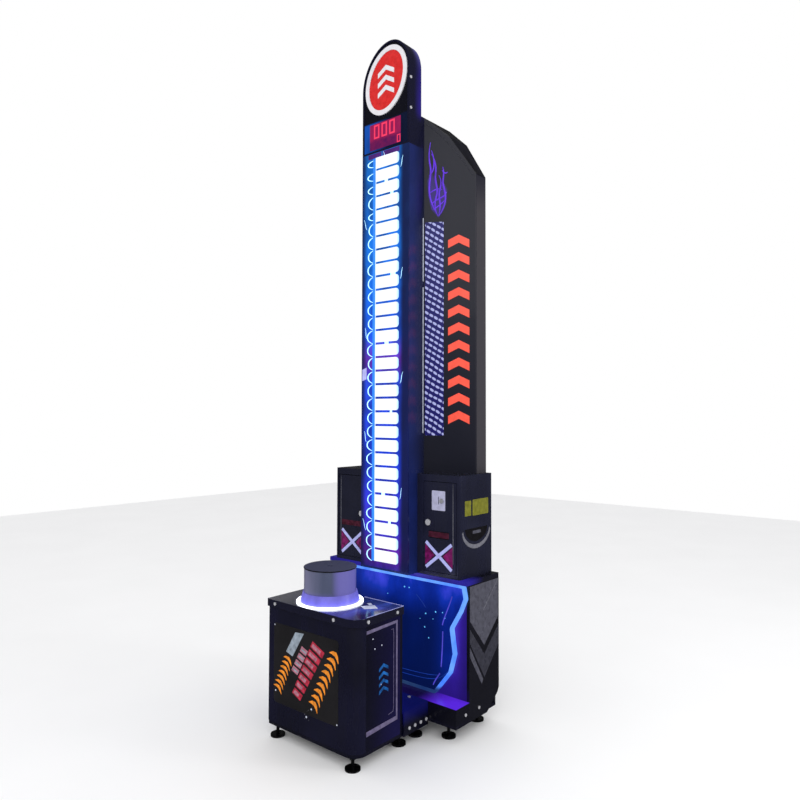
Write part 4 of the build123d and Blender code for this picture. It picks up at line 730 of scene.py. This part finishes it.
def chevrons(x, low, half, rise, thick, step, count):
    """Upright chevrons one above the other; low is the foot of the first."""
    out = []
    for k in range(count):
        z = low + step * k
        out.append([(x - half, z), (x, z + rise), (x + half, z),
                    (x + half, z + thick), (x, z + rise + thick), (x - half, z + thick)])
    return out


def axes_of(a, b):
    u = (Vector(b) - Vector(a)).normalized()
    return u, Vector((u.y, -u.x)), (Vector(b) - Vector(a)).length


# ------------------------------------------------------------ anvil box
FP = front(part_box("anvil_front_panel")[0].y)
plates("front_inset", [rrect(-198, 144, 132, 424, 12)], FP, 1.0, m_inset, chamfer=0.8)


def claws(a, b, width, count):
    """Hooked chevrons that climb from a to b."""
    u, n, length = axes_of(a, b)
    step = length / count
    out = []
    for i in range(count):
        o = Vector(a) + u * step * (i + 0.4)
        rail = [(-0.5, -0.30), (-0.28, 0.20), (0.02, 0.42), (0.26, 0.16), (0.5, -0.52)]
        thick = (0.10, 0.46, 0.60, 0.50, 0.12)
        outer = [tuple(o + n * width * t + u * step * s) for t, s in rail]
        inner = [tuple(o + n * width * t + u * step * (s - w)) for (t, s), w in zip(rail, thick)]
        out.append(outer + inner[::-1])
    return out


plates("claws_left", claws((-174, 182), (-110, 316), 50, 7), FP, 1.7, m_orange)
plates("claws_right", claws((20, 168), (136, 388), 52, 9), FP, 1.7, m_orange)
plates("silver_bar", [[(-78, 410), (-32, 413), (-92, 320), (-128, 330)]], FP, 1.6, m_silver)

# Power-meter slabs stand where the real cabinet has its name: no lettering is drawn.
LINE_A, LINE_B = (-72, 178), (48, 388)
U, N, LENGTH = axes_of(LINE_A, LINE_B)
SLABS = 7
red, pale = [], []
for i in range(SLABS):
    s = LENGTH * i / SLABS
    depth = LENGTH / SLABS * 0.74
    spread = 24 + 1.6 * i
    red.append(slab(LINE_A, U, N, s, s + depth, -spread, spread, 6))
    pale.append(slab(LINE_A, U, N, s + 5, s + depth - 6, -spread + 6, spread - 16, 4))
plates("meter_slabs", red, FP, 1.6, m_red)
plates("meter_faces", pale, FP, 2.0, m_pale_red)
SHORT_A = (-84, 262)
short = [slab(SHORT_A, U, N, 30 * i, 30 * i + 22, -16, 18, 6) for i in range(4)]
plates("meter_short", short, FP, 1.6, m_pale_red)
plates("meter_short_lines", [slab(SHORT_A, U, N, 30 * i + 8, 30 * i + 14, -12, 15, 5) for i in range(4)], FP, 2.0, m_silver)
RIVETS = ((10, 157, 3.4), (-16, 123, 3.4), (-185, 175, 3), (139, 139, 2.6), (-193, 416, 2.4))
plates("front_rivets", [disc(x, z, r, 12) for x, z, r in RIVETS], FP, 2.2, m_white, chamfer=0.8)
SPECKS = [(random.uniform(-26, 8), random.uniform(112, 152)) for k in range(9)]
plates("front_specks", [disc(x, z, 1.2, 6) for x, z in SPECKS], FP, 1.3, m_lightgrey, chamfer=0.3)

SIDE_TRIM = [[(-280, 450), (-118, 456), (-118, 466), (-280, 462)], rect(-125, -118, 128, 456),
             [(-280, 106), (-118, 114), (-118, 128), (-280, 122)]]
INNER_LINE = [[(-152, 438), (-138, 439), (-138, 150), (-166, 145)]]
SIDE_STEP = 26
SIDE_MID = centre("anvil_right_panel") / MM
SIDE_CHEVRONS = chevrons(SIDE_MID.y, SIDE_MID.z - 2 * SIDE_STEP, 24, 14, 11, SIDE_STEP, 4)
for nm, pl in (("right", right(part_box("anvil_right_panel")[1].x)), ("left", left(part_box("anvil_left_panel")[0].x))):
    plates("side_trim_" + nm, SIDE_TRIM, pl, 2.2, m_trim, chamfer=1.2)
    tube("side_inner_line_" + nm, INNER_LINE, 0.9, m_trim, pl, straight=True)
    plates("side_chevrons_" + nm, SIDE_CHEVRONS, pl, 1.2, m_cyan, chamfer=0.4)
    dots = [disc(y, z, 2.4, 10) for y, z in ((-238, 392), (-202, 396), (-248, 428), (-206, 262))]
    plates("side_dots_" + nm, dots, pl, 1.4, m_white, chamfer=0.6)

# The spring under the pad is copied into a mesh of its own, and the imported part is hidden.
spring = bpy.data.objects.new("spring_coil", NODES["return_spring"].data.copy())
spring.data.materials.clear()
finish(spring, m_steel, "machine", True)
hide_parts("return_spring")
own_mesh(spring)

# Lamp reflections printed as a thin pale lid edge and patches beside the ring.
lid_lo, lid_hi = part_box("anvil_lid")
LT = top(lid_hi.z)
pad = centre("strike_pad")
lx, ly = pad.x / MM, pad.y / MM
plates("lid_patches", [[(lx + 136, ly + 22), (lx + 172, ly + 2), (lx + 204, ly + 40), (lx + 168, ly + 62)],
                       [(lx + 128, ly + 64), (lx + 150, ly + 52), (lx + 158, ly + 62), (lx + 138, ly + 76)]], LT, 0.3, m_white,
       chamfer=0.15)
EDGE = 3
tube("lid_edge", [[(lid_hi.x / MM - EDGE, lid_lo.y / MM + 56), (lid_hi.x / MM - EDGE, lid_hi.y / MM - EDGE)],
                  [(lid_hi.x / MM - EDGE, lid_hi.y / MM - EDGE), (lx + 60, lid_hi.y / MM - EDGE)]], 0.8, m_cross, LT, straight=True)

# ------------------------------------------------------------ main cabinet
PP = front(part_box("front_panel")[0].y)
LAMPS = ((168, 425, 3.0), (217, 440, 3.2), (250, 443, 2.4), (163, 372, 3.0), (183, 334, 2.6), (204, 410, 1.8), (262, 424, 1.8),
         (140, 400, 1.8), (60, 512, 3.4), (84, 512, 3.0), (-30, 470, 2.2))
plates("panel_lights", [disc(x, z, r, 10) for x, z, r in LAMPS], PP, 0.9, m_dot, chamfer=0.4)
PANEL_LINES = [[(-212, 168), (0, 168), (206, 168), (248, 196), (276, 226)], [(-200, 184), (0, 184), (196, 184), (240, 206)],
               [(120, 492), (150, 470), (168, 448)]]
tube("panel_lines", PANEL_LINES, 1.2, m_line, PP)
# Painted reflection of the light strip: glowing lines just inside the panel's edges, mirrored to both sides.
STRIP_REFLECTION = [[(296, 512), (282, 470), (254, 420), (250, 396)], [(252, 372), (250, 300), (244, 236)], [(238, 210), (214, 178), (206, 160)]]
tube("strip_reflection", STRIP_REFLECTION + mirror(STRIP_REFLECTION), 2.2, m_strip_reflection, PP)

SIDE_Z = 556
FIELD = [(139, SIDE_Z), (334, SIDE_Z), (335, 408), (235, 318), (139, 428)]
CHEVRON = [(139, 398), (235, 284), (336, 374), (336, 298), (236, 196), (139, 344)]
WEDGE = [(139, 330), (228, 190), (218, 174), (139, 296)]
CREASE = [[(334, 555), (280, 505), (226, 452)]]
RIM = [[(338, 559), (338, 128)]]
for nm, pl in (("right", right(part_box("main_side_right")[1].x)), ("left", left(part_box("main_side_left")[0].x))):
    plates("side_field_" + nm, [FIELD], pl, 1.2, m_midgrey, chamfer=1.0)
    plates("side_chevron_" + nm, [CHEVRON], pl, 1.5, m_grey, chamfer=1.2)
    plates("side_wedge_" + nm, [WEDGE], pl, 1.0, m_midgrey, chamfer=0.8)
    tube("side_crease_" + nm, CREASE, 1.1, m_lightgrey, lambda a, b, d, pl=pl: pl(a, b, 1.6))
    tube("side_edge_" + nm, RIM, 1.0, m_grey, pl, straight=True)

# ------------------------------------------------------------ modules
# Raised pieces keep clear of the last few millimetres beside the hinge, which swing into the jamb.
DP = front(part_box("coin_door")[0].y)
DOOR_EDGE = 301
CROSS_LEFT, CROSS_RIGHT, CROSS_LOW, CROSS_HIGH, CROSS_WIDE = 170, 294, 608, 706, 13
CROSS = [stroke((CROSS_LEFT, CROSS_HIGH), (CROSS_RIGHT, CROSS_LOW), CROSS_WIDE),
         stroke((CROSS_LEFT, CROSS_LOW), (CROSS_RIGHT, CROSS_HIGH), CROSS_WIDE)]
WEDGES = [[(166, 698), (212, 657), (166, 616)], [(298, 698), (252, 657), (298, 616)]]
for nm, sx, body in (("coin", 1, "coin_door_leaf"), ("service", -1, "service_door_leaf")):
    turn = (lambda s: s) if sx > 0 else mirror
    plates("cross_field_" + nm, turn(WEDGES), DP, 0.6, m_magenta, body, 0.4)
    plates("cross_a_" + nm, turn(CROSS[:1]), DP, 1.7, m_cross, body, 0.6)
    plates("cross_b_" + nm, turn(CROSS[1:]), DP, 1.3, m_cross, body, 0.6)
    if sx < 0:
        plates("red_band_" + nm, turn([rrect(180, 296, 726, 748, 3)]), DP, 0.8, m_maroon, body, 0.4)
    # Painted highlight: a pale tapering line down each door's edge.
    tube("door_edge_highlight_" + nm, turn([[(DOOR_EDGE, 633), (DOOR_EDGE, 700), (DOOR_EDGE, 800), (DOOR_EDGE, 938)]]), 1.3, m_lightgrey, DP, body, taper=True)
flap_lo, flap_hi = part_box("return_flap")
FLAP_EDGE = 2
flap = rrect(flap_lo.x / MM + FLAP_EDGE, flap_hi.x / MM - FLAP_EDGE, flap_lo.z / MM + FLAP_EDGE, flap_hi.z / MM - FLAP_EDGE, 3)
plates("flap_face", [flap], front(flap_lo.y), 0.8, m_maroon, "coin_flap", 0.4)

LIP_OUTER = arc_points(232, 758, 98, 74, 186, 354, 15)
LIP_INNER = arc_points(232, 766, 92, 66, 352, 188, 15)
for nm, pl in (("right", right(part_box("module_body_right")[1].x)), ("left", left(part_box("module_body_left")[0].x))):
    plates("olive_tab_" + nm, [rrect(154, 196, 814, 872, 3), rrect(206, 316, 812, 874, 3)], pl, 0.7, m_olive, chamfer=0.4)
    plates("lip_" + nm, [LIP_OUTER + LIP_INNER], pl, 2.2, m_lightgrey, chamfer=1.4)
    # Painted shadow: a black half-ellipse inside each lip.
    plates("lip_shade_" + nm, [arc_points(232, 764, 78, 52, 180, 360, 15)], pl, 0.5, m_painted_shadow, chamfer=0.3)
    plates("lip_badge_" + nm, [rrect(206, 262, 742, 754, 2)], pl, 1.0, m_midgrey, chamfer=0.4)

# ------------------------------------------------------------ tower
TP = front(tlo.y)
bars_lo, bars_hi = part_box("light_bars")
BAR_COUNT = 30
BAR_TALL = 46
BARS_LOW = 610
PITCH = 55.6
FIRST = BARS_LOW + BAR_TALL / 2
ROOT = bars_lo.x / MM
BULGE = 26
arcs = []
for k in range(BAR_COUNT):
    z = FIRST + PITCH * k
    half = 25 + random.uniform(-2, 2)
    out = ROOT - BULGE + random.uniform(-4, 4)
    if k >= BAR_COUNT - 5 and random.random() < 0.5:
        half *= 0.6
    arcs.append([(ROOT + 2, z + half), (out + 6, z + half * 0.7), (out - 2, z), (out + 6, z - half * 0.7), (ROOT + 2, z - half)])
tube("bar_arcs", arcs, 1.9, m_arc, TP, taper=True)
glints = []
for k in (3, 5, 11, 16, 21, 27, 28):
    z = FIRST + PITCH * (k - 0.5)
    x = random.uniform(-30, 40)
    glints.append(rrect(x, x + random.uniform(10, 30), z - 5.5, z + 5.5, 2, 3))
plates("bar_glints", glints, TP, 1.0, m_arc, chamfer=0.4)
plates("violet_band", [rect(-92, -20, 2268, 2288), rect(-12, 78, 2268, 2288)], TP, 0.7, m_violet)
plates("side_label", [[(-122, 1343), (-98, 1350), (-98, 1398), (-122, 1390)]], TP, 0.7, m_cross)
sparks = [[(-8, 2286), (2, 2268), (-6, 2256), (4, 2240)]]
SPARK_STEP = 213
for k in range(8):
    z = 690 + k * SPARK_STEP + random.uniform(-50, 50)
    side = 1 if k % 2 else -1
    x = 84 if side > 0 else -98
    reach = random.uniform(8, 18)
    sparks.append([(x, z), (x + side * reach * 0.7, z + 14), (x + side * reach * 0.3, z + 24), (x + side * reach, z + 46)])
tube("spark_lines", sparks, 0.9, m_arc, TP, taper=True)

FLAMES = [[(58, 2012), (22, 2070), (18, 2150), (34, 2210), (14, 2256), (26, 2318)],
          [(60, 2012), (88, 2050), (90, 2110), (70, 2150), (84, 2186), (76, 2214)],
          [(56, 2014), (34, 2060), (66, 2110), (36, 2170), (56, 2226), (30, 2270)],
          [(60, 2016), (72, 2060), (48, 2100), (78, 2150), (60, 2180)], [(30, 2060), (52, 2090), (80, 2080), (92, 2110)],
          [(26, 2110), (52, 2130), (74, 2120)], [(36, 2040), (62, 2052), (84, 2076)], [(20, 2180), (44, 2196), (46, 2240), (30, 2284)],
          [(74, 2200), (86, 2180), (96, 2192)]]
FLAME_BODY = [(58, 2006), (30, 2040), (16, 2100), (14, 2160), (28, 2206), (44, 2160), (60, 2120), (80, 2150), (94, 2120), (90, 2060),
              (76, 2028)]
COLUMN_LOW, COLUMN_HIGH = 1166, 1950
COLUMN = (98, 184)
CHEVRONS = 11
MARK_STEP = (COLUMN_HIGH - COLUMN_LOW) / CHEVRONS
MARKERS = chevrons(sum(COLUMN) / 2, COLUMN_LOW, (COLUMN[1] - COLUMN[0]) / 2, MARK_STEP * 0.30, MARK_STEP * 0.46,
                   MARK_STEP, CHEVRONS)
for nm, sx in (("right", 1), ("left", -1)):
    pl = flare(sx)
    SP = right(thi.x) if sx > 0 else left(tlo.x)
    tube("seam_light_" + nm, [[(156, 1130), (156, 1720)], [(156, 1745), (156, 2004)]], 1.6, m_white, SP, straight=True)
    plates("checker_" + nm, [rrect(4, 80, 1120, 1988, 3)], pl, 0.8, band_material(), chamfer=0.5)
    # Flame print with a painted glow.
    plates("flame_glow_" + nm, [FLAME_BODY], pl, 0.4, m_flame_body, chamfer=0.2)
    tube("flame_" + nm, FLAMES, 2.9, m_purple, pl, taper=True)
    plates("climb_marks_" + nm, MARKERS, pl, 1.1, m_coral, chamfer=0.6)
    tube("wing_edge_" + nm, [[(8, 2396), (95, 2328), (150, 2246), (198, 2176)]], 1.1, m_grey, pl)

# ------------------------------------------------------------ sign
SD = front(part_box("sign_disc")[0].y)
emblem_lo, emblem_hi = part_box("sign_emblem")
disc_mid = centre("sign_disc")
EMBLEM_THICK = (emblem_hi.y - emblem_lo.y) / MM
SIGN_STEP, SIGN_RISE, SIGN_THICK, SIGN_COUNT = 42, 26, 20, 3
sign_low = disc_mid.z / MM - (SIGN_STEP * (SIGN_COUNT - 1) + SIGN_RISE + SIGN_THICK) / 2
sign_marks = chevrons(disc_mid.x / MM, sign_low, 44, SIGN_RISE, SIGN_THICK, SIGN_STEP, SIGN_COUNT)
emblem = plates("sign_chevrons", sign_marks, SD, EMBLEM_THICK, m_sign_white, chamfer=0.4)
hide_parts("sign_emblem")

# ------------------------------------------------------------ studio
bm = bmesh.new()
bmesh.ops.create_grid(bm, x_segments=24, y_segments=24, size=7.0)
me = bpy.data.meshes.new("floor")
bm.to_mesh(me)
bm.free()
floor = bpy.data.objects.new("floor", me)
bpy.context.collection.objects.link(floor)
fm, fnt, fb, fco = base_mat("floor_pale", (0.93, 0.93, 0.94), 0.6)
fnt.links.new(tint(fnt, noise(fnt, fco, 2, 3), (0.94, 0.94, 0.95), (0.96, 0.96, 0.97)), fb.inputs["Base Color"])
floor.data.materials.append(fm)
floor.visible_glossy = False

# The white studio surrounds everything, but gloss mirrors only the soft boxes, as in a dark-walled shoot.
GLOSS_DARK = -0.93
world = bpy.data.worlds.new("studio")
bpy.context.scene.world = world
world.use_nodes = True
wnt = world.node_tree
background = wnt.nodes["Background"]
background.inputs["Color"].default_value = (1, 1, 1, 1)
rays = wnt.nodes.new("ShaderNodeLightPath")
dim = math_(wnt, "MULTIPLY", rays.outputs["Is Glossy Ray"], GLOSS_DARK)
wnt.links.new(math_(wnt, "ADD", dim, 1.0), background.inputs["Strength"])


def area(name, loc, aim, size, power):
    li = bpy.data.lights.new(name, "AREA")
    li.shape = "RECTANGLE"
    li.size, li.size_y = size
    li.energy = power
    o = bpy.data.objects.new(name, li)
    o.location = loc
    o.rotation_euler = (Vector(aim) - Vector(loc)).to_track_quat("-Z", "Y").to_euler()
    bpy.context.collection.objects.link(o)


area("key", (2.6, -3.6, 3.4), (0, 0, 1.0), (1.6, 2.4), 40)
area("rim", (3.4, 1.6, 2.2), (0.2, 0, 1.2), (0.8, 2.6), 25)

FOCAL = 686.6 / 800
SENSOR = 36.0
AZIMUTH, PITCH_UP, ROLL = 0.7007, 0.0355, 0.0026
cam_data = bpy.data.cameras.new("camera")
cam = bpy.data.objects.new("camera", cam_data)
bpy.context.collection.objects.link(cam)
cam_data.sensor_width = SENSOR
cam_data.lens = FOCAL * SENSOR
cam_data.shift_x = -0.0008
cam_data.shift_y = -0.0111
cam.matrix_world = (Matrix.Translation((1.8456, -2.0218, 1.2)) @ Matrix.Rotation(AZIMUTH, 4, "Z")
                    @ Matrix.Rotation(math.pi / 2 + PITCH_UP, 4, "X") @ Matrix.Rotation(ROLL, 4, "Z"))
bpy.context.scene.camera = cam
bpy.context.scene.view_settings.view_transform = "Standard"
